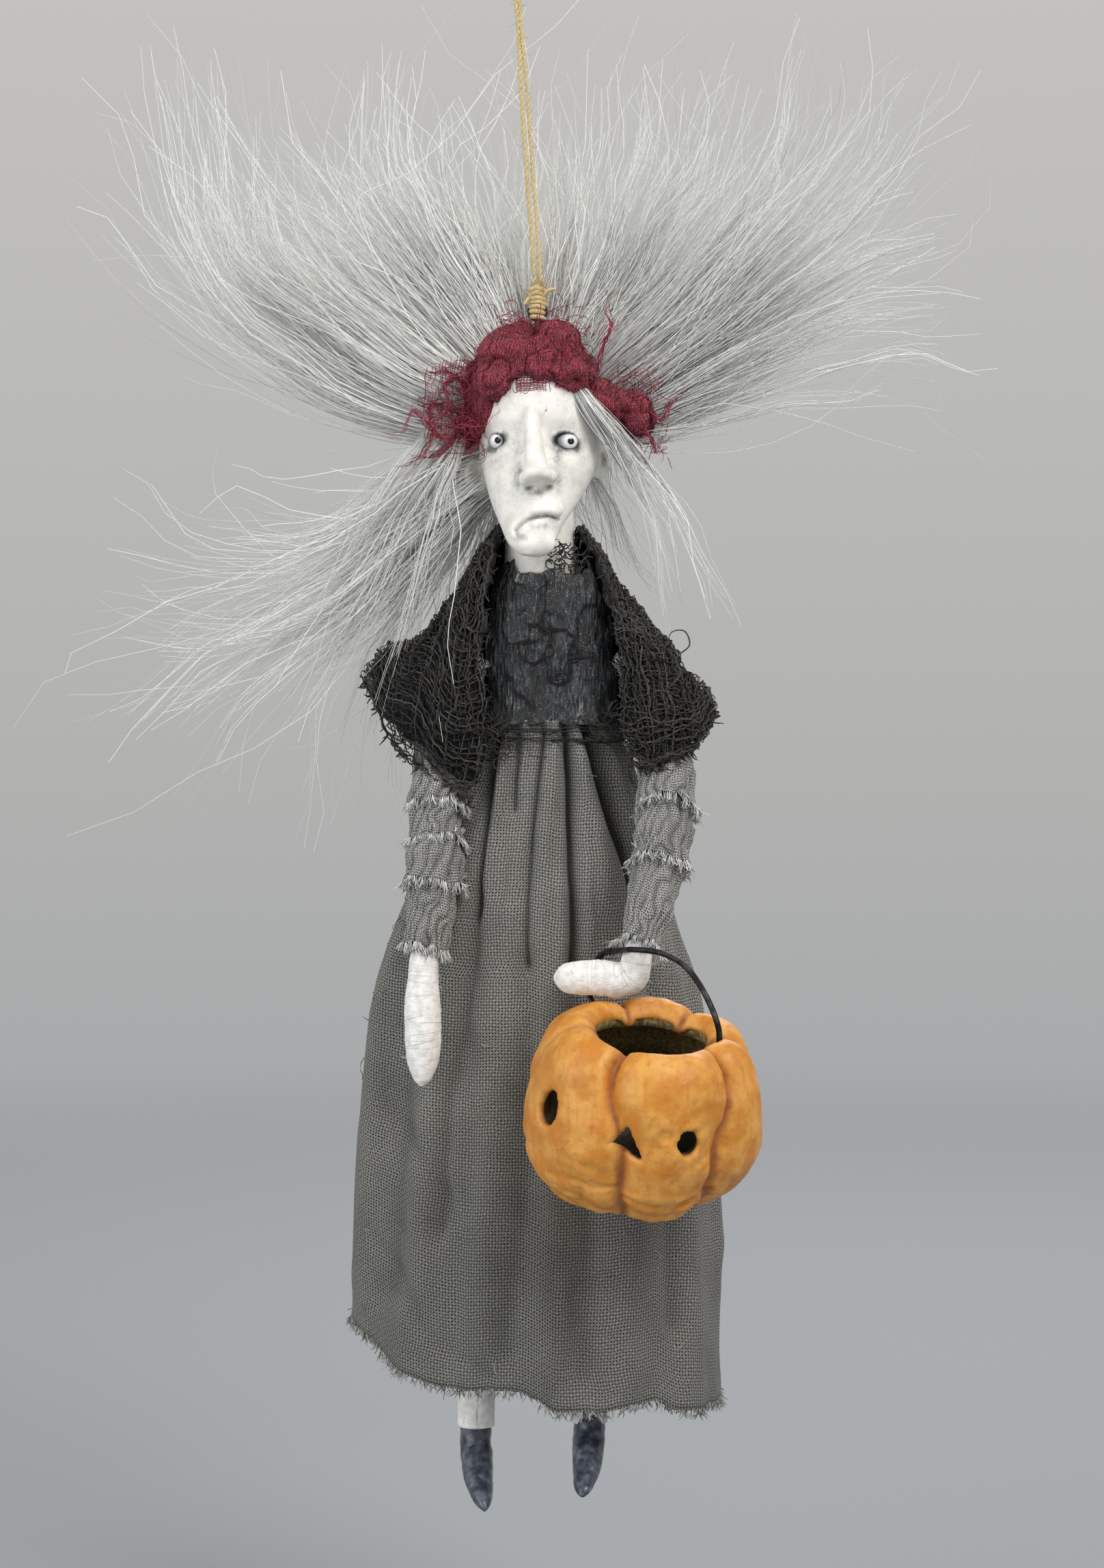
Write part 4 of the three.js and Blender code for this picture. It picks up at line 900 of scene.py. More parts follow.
def hill(flat, centre, size):
    """A soft round rise of 1 at a centre, with a size in each direction."""
    away = (flat - np.asarray(centre)) / np.asarray(size)
    return np.exp(-(away**2).sum(1))


def ellipsoid(centre, radii, rows=14, sides=20):
    """Rings of an ellipsoid, from its lowest point up."""
    rise = np.linspace(-0.995, 0.995, rows) * np.pi / 2
    turn = turns(sides)
    x = np.cos(rise)[:, None] * np.cos(turn)
    y = np.cos(rise)[:, None] * np.sin(turn)
    z = np.sin(rise)[:, None] * np.ones(sides)
    return np.stack([x, y, z], -1) * radii + np.asarray(centre, float)


def head_skin():
    """One closed skin over the skull, nose, ears, chin and neck."""
    form = Form()
    shares = np.linspace(0, 1, 90)
    side, front, back, drift = profile(HEAD_ROWS, shares).T
    angle = turns(110)
    middle, half = 6.75 * (front + back), 6.75 * (back - front)
    x = 12 * (drift[:, None] + side[:, None] * np.sin(angle))
    y = middle[:, None] - half[:, None] * np.cos(angle)
    z = np.repeat(-shares[:, None] * HEAD_HEIGHT, len(angle), 1)
    form.loft(turned(np.stack([x, y, z], -1), HEAD_TURN) + HEAD_AT)
    nose = [(-0.8, 9.8, 14.5), (-0.5, 12.2, 19.6), (0.2, 14.5, 25.4), (0.9, 16.8, 30.4), (1.1, 17.4, 32.6)]
    rows = [
        [0, 1.1, 1.2], [0.3, 1.6, 2.3], [0.6, 2.1, 3], [0.86, 2.9, 3.2], [0.96, 2.9, 2.6], [1, 2.2, 1.6],
    ]
    form.loft(rings_along(from_face(nose), rows, 30, 24, thin=(0, 1, 0.4)))
    for centre, radii in (
        ((-1.2, 14, 31.5), (1.8, 2.4, 1.5)), ((3.1, 13.9, 31.2), (1.7, 2.3, 1.5)),
        ((0.2, 11.8, 43.6), (4, 2.7, 2.8)), ((1.4, 11.9, 37.2), (4.4, 1.9, 2.6)),
    ):
        form.loft(ellipsoid(from_face(centre), radii))
    form.loft(ellipsoid((-7.0, 0.6, -105.0), (2.8, 1.7, 3.8)))
    form.loft(ellipsoid((16.9, 0.2, -101.8), (2.5, 1.8, 3.7)))
    neck = spline([(5.2, 2, -124.3), (5.2, 1.8, -114), (5.2, 1.5, -103)], 12)
    form.loft(tube(neck, np.linspace(7.0, 6.4, 12), 40))
    return remeshed(form.make("head_look", merge=0.01), 0.3, 8)


def make_head(settings):
    """The sculpted white head in one skin with its nose, ears and neck, and its two eyes."""
    head = head_skin()
    mesh = head.data
    points = coordinates(mesh)
    face = to_face(points)
    facing = smoothstep(0.15, 0.6, -normals(mesh)[:, 1]) * smoothstep(0, 4, face[:, 1])
    flat = face[:, [0, 2]]
    nose_side = smoothstep(14.0, 16.0, face[:, 1])
    grain = 0.6 * lumps(points, 1.3, 8) + 0.4 * lumps(points, 0.55, 9)
    push = 0.22 * lumps(points, 6, 1) + 0.07 * lumps(points, 2.2, 2)
    wash_and_shade = 0.12 * (lumps(points, 5, 6) + 0.6 * lumps(points, 2, 7))
    dark = np.zeros(len(points))
    for centre, size, strength in SMUDGES:
        wash_and_shade += strength * hill(flat, centre, size)
    push -= 0.9 * hill(flat, (-7.0, 24.4), (3.6, 3.0)) + 0.9 * hill(flat, (6.0, 24.6), (3.8, 3.0))
    push -= 0.5 * hill(flat, (-3.4, 27), (1.6, 6)) + 0.5 * hill(flat, (4.6, 28), (1.6, 6))
    push += 0.35 * hill(flat, (-7, 19.8), (3.6, 1.4)) + 0.35 * hill(flat, (6.4, 19.8), (3.6, 1.4))
    lips = line_distance(flat, spline([(a, b, 0) for a, b in MOUTH], 24)[:, :2])
    lower = smoothstep(0, 0.8, flat[:, 1] - np.interp(flat[:, 0], *zip(*MOUTH)))
    push += 0.4 * bell(lips - 1.2, 0.8) * (1 - 0.5 * lower) - 0.8 * bell(lips, 0.34)
    wash_and_shade += (0.5 + 0.4 * grain) * bell(lips, 0.7)
    dark += 0.3 * bell(lips, 0.24)
    balls = {}
    for name, (right, below, wide, high) in EYES.items():
        away = np.sqrt(((flat[:, 0] - right) / wide) ** 2 + ((flat[:, 1] - below) / high) ** 2)
        upper = np.where(flat[:, 1] < below, 1.2, 0.7)
        push += upper * 0.3 * bell(away - 1.42, 0.34)
        push -= 1.6 * (1 - smoothstep(0.86, 1.1, away))
        blotch = np.clip(0.85 + 0.5 * grain + 0.2 * smoothstep(-0.5, 1.5, flat[:, 1] - below), 0.5, 1.3)
        wash_and_shade += blotch * bell(away - 1.15, 0.45) + 0.3 * bell(away - 1.9, 0.6)
        dark += 1.2 * blotch * bell(away - 1.14, 0.24)
        near = (np.abs(away - 1.7) < 0.3) & (face[:, 1] > 4)
        balls[name] = from_face((right, float(np.median(face[near, 1])) - 1.15, below)), wide, high
    # Painted shadow at the right eye's outer corner.
    dark += 0.8 * hill(flat, (7.7, 24.7), (0.6, 0.9))
    for nostril in ((-0.9, 33.2), (3.0, 33.0)):
        hole = hill(flat, nostril, (0.75, 0.6))
        under = smoothstep(9, 12, face[:, 1])
        push -= 0.7 * hole * under
        # Painted shade in the nostril.
        dark += 0.8 * hole * under
    for centre, size in (((-7.8, -104.6), (1.0, 2.0)), ((17.6, -101.6), (0.9, 1.9))):
        hollow = hill(points[:, [0, 2]], centre, size) * (np.abs(points[:, 0] - 5.2) > 10.5)
        points[:, 1] += 1.5 * hollow * (normals(mesh)[:, 1] < 0)
        # Painted shade in the ear's hollow.
        wash_and_shade += 0.8 * hollow
        dark += 0.5 * hollow**2
    forward = turned([(0.0, -1.0, 0.0)], HEAD_TURN)[0]
    points += forward * (push * facing * (1 - nose_side))[:, None]
    points[:, 2] -= 2.2 * smoothstep(-85, -78, points[:, 2])
    place_points(mesh, points)
    wash_and_shade = wash_and_shade * (0.8 + 0.5 * grain) * (1 - 0.75 * nose_side * (flat[:, 1] < 32.6))
    paint_points(mesh, "wash_and_shade", np.clip(wash_and_shade, 0, 1))
    paint_points(mesh, "dark", np.clip(dark * np.maximum(facing, 0.4), 0, 1) * (face[:, 1] > -3))
    mesh.materials.append(clay_finish("Clay"))
    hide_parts("head")
    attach(head, "doll")
    shine = eye_finish("Eye")
    for name, (centre, wide, high) in balls.items():
        radii = np.array((wide + 0.4, 1.6, high + 0.5))
        ball = Form().loft(ellipsoid(centre, radii, 40, 60))
        piece = ball.make(f"{name}_look", shine)
        right, below = GAZES[name]
        spots = coordinates(piece.data) - centre - (right, 0, -below)
        paint_points(piece.data, "gaze", np.linalg.norm(spots[:, [0, 2]], axis=1) + (spots[:, 1] > 0))
        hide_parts(name)
        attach(piece, "doll")


# Hair


HAIR_CENTRE = np.array([5.2, 0.0, -98.3])
# Locks: routes from the hair's centre in [right, back, up], with a share of the strands for each route
LOCKS = {
    "hair_top": [
        (0.3, [[0, 7, 14], [0, 7.5, 26], [1, 8, 40], [1.5, 8, 53], [0, 8, 72]]),
        (0.35, [[-3, 5, 14], [-8, 6, 28], [-13, 6, 42], [-17, 5, 54], [-22, 5, 70]]),
        (0.35, [[3, 5, 14], [8, 6, 28], [13, 5, 42], [16, 5, 54], [19, 6, 70]]),
    ],
    "hair_upper_left_inner": [
        (0.6, [[-4, 5, 8], [-14, 6, 24], [-28, 6, 41], [-38, 6, 54], [-43, 6, 72]]),
        (0.4, [[-4, 2, 10], [-14, 1, 24], [-24, 0, 36], [-32, 0, 47], [-38, 1, 58]]),
    ],
    "hair_upper_left_outer": [
        (0.5, [[-6, 5, 4], [-24, 5, 8], [-44, 4, 18], [-60, 3, 33], [-65, 3, 50], [-69, 3, 68]]),
        (0.5, [[-6, 3, 6], [-24, 2, 13], [-42, 2, 26], [-55, 1, 38], [-62, 1, 54]]),
    ],
    "hair_lower_left_upper": [
        (0.35, [[-6, 6, -1], [-22, 7, -9], [-38, 7, -22], [-53, 6, -29], [-68, 5, -30], [-80, 5, -27]]),
        (0.2, [[-6, 6, 4], [-26, 7, 8], [-44, 6, 17], [-56, 5, 30], [-63, 5, 44]]),
        (0.35, [[-6, 3, -3], [-18, 2, -10], [-30, 1, -20], [-42, 2, -29], [-54, 3, -34]]),
    ],
    "hair_lower_left_lower": [
        (0.18, [[-6, 9, -3], [-18, 12, -13], [-28, 12, -29], [-35, 11, -42], [-40, 10, -56],
                [-43, 10, -72]]),
        (0.27, [[-6, 6, -3], [-18, 7, -12], [-32, 7, -26], [-48, 6, -36], [-62, 6, -46], [-73, 6, -58]]),
        (0.3, [[-6, 6, -4], [-12, 7, -14], [-18, 8, -25], [-24, 9, -36], [-29, 9, -47]]),
        (0.25, [[-17.6, -2.5, 1.4], [-20, -5, -3.4], [-25, -5, -11.5], [-30.5, -4, -23], [-37, -2, -37],
                [-44, 0, -54]]),
    ],
    "hair_upper_right_inner": [
        (0.6, [[4, 5, 8], [13, 6, 22], [23, 6, 34], [34, 6, 50], [42, 6, 70]]),
        (0.4, [[4, 2, 10], [13, 1, 22], [24, 1, 34], [36, 1, 46], [46, 2, 58]]),
    ],
    "hair_upper_right_outer": [
        (0.6, [[6, 5, 4], [20, 6, 15], [35, 6, 29], [50, 6, 43], [60, 6, 56], [66, 6, 70]]),
        (0.4, [[6, 3, 6], [22, 2, 17], [38, 2, 31], [50, 2, 44], [57, 3, 58]]),
    ],
    "hair_right": [
        (0.6, [[6, 7, 2], [22, 8, 9], [37, 8, 17], [52, 8, 27], [66, 8, 35], [78, 8, 38]]),
        (0.4, [[6, 4, 2], [20, 3, 6], [34, 3, 12], [47, 3, 19], [58, 3, 24]]),
    ],
    "hair_side_right": [
        (0.25, [[8, 4, -2], [12, 5, -8], [15, 6, -15], [17, 6, -22], [19, 6, -28]]),
        (0.75, [[5.4, -7.6, 12.6], [9.6, -9.4, 5.6], [14.6, -6.8, -0.6], [19, -5, -7.5], [24, -4, -16.5],
                [28.6, -3, -30]]),
    ],
    "hair_back": [
        (0.5, [[0, 9, 17], [0, 14, 10], [0, 16.5, -2], [0, 15.5, -14], [0, 15, -26]]),
        (0.25, [[-6, 8, 14], [-9, 13, 4], [-10, 14, -8], [-11, 13, -22]]),
        (0.25, [[6, 8, 14], [9, 13, 4], [10, 14, -8], [11, 13, -20]]),
    ],
}
# Each lock's share of the strands, and how wide it fans out at its root, middle and tips
FANS = {
    "hair_top": (0.8, 7, 12, 18), "hair_upper_left_inner": (1.0, 5, 12, 20),
    "hair_upper_left_outer": (1, 5, 10, 17),
    "hair_lower_left_upper": (0.9, 5, 10, 17), "hair_lower_left_lower": (0.72, 4.0, 7.5, 15),
    "hair_upper_right_inner": (1.0, 5, 12, 20), "hair_upper_right_outer": (1.0, 5, 11, 18),
    "hair_right": (0.8, 4, 9, 15), "hair_side_right": (0.27, 1.0, 2.6, 4.8), "hair_back": (0.6, 6, 8, 9),
}


def lock_strands(random, route, count, fan, seed):
    """Strands that fan out along one route: most in pointed wisps, some loose and bowed."""
    steps = 12
    turn, out = random.uniform(0, 2 * np.pi, count), np.sqrt(random.uniform(0, 1, count))
    own = np.stack([out * np.cos(turn), 0.62 * out * np.sin(turn)], -1)
    wisps = max(6, count // 16)
    middles = np.stack([random.uniform(-1, 1, wisps), random.uniform(-0.62, 0.62, wisps)], -1)
    wisp = np.argmin(((own[:, None] - middles) ** 2).sum(-1), 1)
    firm = random.uniform(0, 1, count) < 0.62
    firmness = np.where(firm, random.uniform(0.7, 0.97, count), random.uniform(0, 0.4, count))
    together = random.uniform(0.42, 1.12, wisps)[wisp] * random.uniform(0.6, 1.04, count)
    reach = np.clip(np.where(firm, together, 0.25 + 0.87 * random.uniform(0, 1, count) ** 1.3), 0.25, 1.12)
    share = np.linspace(0, 1, steps)[None] * reach[:, None]
    route = np.asarray(route, float)
    longer = np.concatenate([route, [2 * route[-1] - route[-2]]])
    path = spline(longer, np.clip(share * (len(route) - 1) / (len(longer) - 1), 0, 1))
    ahead = unit(np.gradient(path, axis=1))
    side = unit(np.cross(ahead, (0.0, 1.0, 0.0)))
    back = np.cross(side, ahead)
    gather = smoothstep(0.05, 0.85, share)[..., None] * firmness[:, None, None]
    offset = own[:, None] * (1 - gather) + middles[wisp][:, None] * gather
    offset = offset * np.interp(share, [0, 0.5, 1.0], fan)[..., None]
    offset += random.normal(0, 1, (wisps, 2))[wisp][:, None] * (share**1.7)[..., None] * 0.36 * fan[2]
    loose = np.where(firm, 0.08, random.choice([0.25, 0.6, 1.5], count, p=[0.4, 0.42, 0.18]))[:, None]
    offset += random.normal(0, 1, (count, 1, 2)) * (loose * share**2 * fan[2])[..., None]
    phase, pace = random.uniform(0, 2 * np.pi, (count, 1, 2)), random.uniform(2.5, 8.5, (count, 1, 2))
    bow = np.sin(pace * share[..., None] + phase) - np.sin(phase)
    offset += bow * random.normal(0, 1, (count, 1, 2)) * np.where(firm, 0.05, 0.22)[:, None, None] * fan[1]
    points = path + HAIR_CENTRE + offset[..., :1] * side + offset[..., 1:] * back
    key = points + random.normal(0, 1, (count, 1, 3)) * np.where(firm, 0.7, 3.5)[:, None, None]
    wave = drift(key, 13.0, seed)
    frizz = drift(key, 4.2, seed + 5)
    points += wave * (3.0 * share[..., None] ** 0.8) + frizz * (0.2 + 0.55 * share[..., None])
    # Each strand's shade is partly the hair's own tone and partly painted light: the near-white strands are
    # painted highlights, and the roots are painted darker as shade.
    bright = np.where(random.uniform(0, 1, count) < 0.3, 1.0, random.uniform(0.0, 0.8, count))
    shade = np.clip(bright[:, None] * np.interp(share, [0, 0.2, 1], [0.7, 0.95, 1.05]), 0, 1)
    taper = np.interp(np.linspace(0, 1, steps), [0, 0.6, 1], [1.0, 0.95, 0.45])
    taper = taper * random.uniform(0.5, 1.1, (count, 1)) * (0.85 + 0.4 * (bright[:, None] > 0.9))
    return points, shade, taper


def make_hair(settings):
    """Wild silver hair: thousands of loose strands in ten locks."""
    finish = Finish("Hair", 0.38, Sheen_Weight=0.1)
    share = finish.math("MULTIPLY_ADD", finish.noise(3.0), 0.25, finish.value("shade"), clamp=True)
    finish.colour(finish.mix(share, (0.7, 0.7, 0.695), tuple(settings.hair_colour)))
    low, high = np.array([-88, -54, -300]), np.array([94, 31, 12])
    for number, (name, routes) in enumerate(LOCKS.items()):
        random = np.random.default_rng(100 + number)
        total = settings.strands * FANS[name][0]
        made = [
            lock_strands(random, route, int(total * part), FANS[name][1:], 10 * number + place)
            for place, (part, route) in enumerate(routes)
        ]
        lines, shades, tapers = (np.concatenate([part[index] for part in made]) for index in range(3))
        if name in ("hair_top", "hair_upper_left_inner", "hair_upper_right_inner"):
            lines[..., 1] = 2.4 + np.abs(lines[..., 1] - 2.4)
        piece = threads(
            f"{name}_strands", list(np.clip(lines, low, high)), settings.strand_width, finish.material, 3,
            taper=list(tapers), shade=list(shades), seed=number + 1,
        )
        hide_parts(name)
        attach(piece, "doll")


# Head scarf


# Lumps of the bunched gauze: centre, then radii
PUFFS = [
    ((4.6, 0.5, -83.9), (11.3, 14.2, 7.6)), ((5, 6, -87), (11.6, 10.5, 10.8)),
    ((-4.8, 1, -90.2), (6, 9.4, 9.2)),
    ((15.4, -0.4, -90.4), (5.4, 9.4, 4.4)), ((24, -3.4, -93.4), (4, 4.4, 4.6)),
    ((19.4, -4.4, -91.8), (4.2, 5.4, 3.3)),
    ((8, -4, -81.8), (5.8, 8.8, 6.6)), ((-1.2, -4, -82.4), (6, 8.4, 6.2)),
    ((-3.2, -8, -88), (4.6, 5, 4.2)),
    ((11, -8.4, -86.6), (5.8, 5.8, 3.6)), ((-8.9, -1, -95), (2.4, 3.2, 4.8)),
    ((4.6, 0.6, -79.3), (6, 8.4, 4.9)), ((5.4, -4.4, -86.2), (9.2, 10, 3.3)),
]
# Twisted loose ends: points along each
TAILS = [
    [(-9, -4, -88), (-12.4, -4, -85.5), (-16, -4, -86), (-19.6, -3, -84.5)],
    [(-9.5, -4, -95), (-13, -5, -98.7), (-16.3, -5, -96.1), (-19, -4, -93.1), (-21.5, -4, -97.5),
     (-24.9, -3, -96.9)],
    [(-10, -3, -97), (-14, -4, -101), (-17.6, -4, -102), (-20.6, -3, -100.7)],
    [(-10, -4, -93), (-16, -5, -92), (-15.5, -5, -97), (-18, -4, -102.5), (-23.5, -3, -104)],
    [(-8, -5, -85), (-13, -5, -88), (-12, -5, -92), (-15, -4, -96)],
    [(25, -3, -92), (28.6, -4, -94.6), (30.8, -3, -91.6), (34.3, -2, -89.1)],
    [(16, -5, -86), (17.6, -5, -80.2), (19, -5, -77), (18, -5, -74), (20.5, -4, -70.3)],
    [(24, -4, -96), (27, -4, -98.5), (27.5, -3, -101), (29, -3, -98)],
]


def surface_tree(piece):
    """A search tree over a piece's faces, in millimetres."""
    corners = [tuple(point) for point in coordinates(piece.data)]
    return BVHTree.FromPolygons(corners, [tuple(face.vertices) for face in piece.data.polygons])


def over_surface(tree, random, start, heading, count, lift):
    """A thread that lies on a surface and wanders over it from a start."""
    heading = unit(np.asarray(heading, float))
    place, points = np.asarray(start, float), []
    for _ in range(count):
        found, normal, _, _ = tree.find_nearest(Vector(place))
        normal = np.array(normal)
        points.append(np.array(found) + normal * lift)
        heading = unit(heading + random.normal(size=3) * 0.16)
        heading = unit(heading - normal * heading.dot(normal))
        place = points[-1] + heading * 0.5
    return np.array(points)


def laid_on(tree, line, lift):
    """A line's points moved to the nearest places on a surface, and lifted off it."""
    found = [tree.find_nearest(Vector(point))[:2] for point in line]
    return np.array([np.array(spot) + np.array(normal) * lift for spot, normal in found])


def make_scarf(settings):
    """A bunched, wrinkled cap of burgundy gauze, with net over the brow and tangles of loose threads."""
    form = Form()
    for centre, radii in PUFFS:
        form.loft(ellipsoid(centre, radii, 22, 36))
    gauze = scarf_finish("Scarf", tuple(settings.scarf_colour))
    scarf = remeshed(form.make("head_scarf_look", gauze), 0.38, 7)
    mesh = scarf.data
    points, out = coordinates(mesh), normals(mesh)
    bent = points + 1.4 * drift(points, 4.5, 1)
    folds = 1 - np.abs(lumps(bent / (1, 1, 1.5), 3.2, 4))
    fine = 1 - np.abs(lumps(bent / (1, 1, 1.5), 1.5, 5))
    crinkle = 1 - np.abs(lumps(bent / (0.8, 1, 3), 1.3, 8))
    swell = 0.6 * lumps(points, 4.0, 6) + 0.25 * lumps(points, 1.4, 7) - 0.9 * folds**8 - 0.45 * fine**6
    swell -= 0.35 * crinkle**6
    swell -= 1.6 * bell(points[:, 0] - 3.7, 0.8) * smoothstep(-80.5, -77, points[:, 2])
    points += out * swell[:, None]
    front = smoothstep(-4, -8, points[:, 1])
    points[:, 1] += 3.2 * front * hill(points[:, [0, 2]], (2.4, -88.2), (2.0, 1.8))
    place_points(mesh, points)
    random = np.random.default_rng(31)
    tree, brow = surface_tree(scarf), surface_tree(bpy.data.objects["head_look"])
    lines = []
    for _ in range(640):
        start = points[random.integers(0, len(points))]
        if start[2] < -101:
            continue
        if random.uniform() < 0.7:
            way = (random.normal() * 0.2, random.normal() * 0.2, -1)
        else:
            way = random.normal(size=3)
        count, lift = int(random.uniform(8, 26)), random.uniform(0.02, 0.4)
        lines.append(over_surface(tree, random, start, way, count, lift))
    for index in range(26):
        ends = (-2.2, 0.0, 7.2, 0.0) if index < 14 else (0.9 * index - 14.4, 2.2, 0.9 * index - 14.4, -3.2)
        level = -84.4 - 0.36 * index if index < 14 else -86.4
        line = np.linspace((ends[0], -16, level + ends[1]), (ends[2], -16, level + ends[3]), 26)
        line = line + 0.3 * drift(line, 1.1, 61) + random.normal(0, 0.1, 3)
        lines.append(laid_on(brow, line, 0.16))
    for tail in TAILS:
        middle = spline(tail, 40)
        middle[:, 1] -= 5.5 * np.linspace(0, 1, 40) ** 0.5
        for _ in range(11):
            seed = int(random.integers(9999))
            loose = 0.6 * drift(middle, 1.3, seed)
            lines.append((middle + loose + random.normal(0, 0.26, 3))[: random.integers(22, 41)])
    for index in range(17):
        level = -83.5 - 1.05 * index + random.normal() * 0.3
        line = spline([(-8, -5, level), (-12, -7.5, level - 0.6), (-15.5 + random.normal(), -8, level)], 20)
        lines.append(line + 0.4 * drift(line, 1.6, 1 + index))
    for index in range(10):
        across = -9.3 - 0.8 * index
        route = [(across, -6.5, -82 - index * 0.3), (across - 0.5, -7.5, -91), (across, -7, -100)]
        line = spline(route, 30)
        lines.append(line + 0.5 * drift(line, 1.8, 4 + index))
    for start, heading, count, length in (
        ((-10, -5, -95), (-1, -0.3, -0.05), 64, 18), ((-9, -4, -87), (-1, -0.2, 0.5), 34, 11),
        ((24, -3, -91), (0.6, -0.3, -0.1), 60, 8), ((20, -3, -88), (0.6, -0.2, 0.6), 24, 8),
        ((1, -5, -77), (-0.4, -0.1, 0.8), 46, 8), ((10, -5, -77), (0.4, -0.2, 0.8), 46, 8),
        ((4, -12, -87), (0, -0.5, -0.9), 20, 4), ((-7, -5, -97), (-0.4, -0.4, -1), 34, 6),
        ((18, -6, -92), (0.2, -0.4, -1), 30, 5), ((26, -1, -96), (0.3, 0, -1), 30, 7),
    ):
        for _ in range(count):
            place = np.array(start) + random.normal(size=3) * (2.6, 1.4, 2.4)
            way = np.array(heading) + random.normal(size=3) * 0.45
            lines.append(curls(random, place, way, random.uniform(0.3, 1.1) * length, 0.5, 0.5))
    finish = thread_finish("Scarf threads", (0.26, 0.05, 0.09), (0.7, 0.27, 0.35), 0.85)
    net = threads("head_scarf_threads", [line for line in lines if len(line) > 2], 0.16, finish, 3, seed=3)
    for piece in (scarf, net):
        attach(piece, "doll")
    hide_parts("head_scarf")


# Bodice


TORSO_X = 7.4


def cloth_length(points):
    """How far a grid of points runs along each row, from its first column."""
    steps = np.linalg.norm(np.diff(points, axis=1), axis=-1)
    return np.concatenate([np.zeros((len(points), 1)), np.cumsum(steps, axis=1)], 1)


def cloth_area(points):
    """The area of a grid of points, in square millimetres."""
    down, along = np.diff(points, axis=0)[:, :-1], np.diff(points, axis=1)[:-1]
    return float(np.linalg.norm(np.cross(down, along), axis=-1).sum())


def closed_ring(points):
    """A grid of points with its first column repeated after its last."""
    return np.concatenate([points, points[:, :1]], 1)


def doubled(values):
    """A grid's values for a cloth's outer side, and then for its inner side, where the rows run back."""
    return np.concatenate([values, values[::-1]])


def lining(points, thickness):
    """The inner side of a ring of cloth that hangs round the vertical axis, by rows from its hem up."""
    middle = points.mean(axis=1, keepdims=True)
    inward = (middle - points) * (1, 1, 0)
    return (points + unit(inward) * thickness)[::-1]


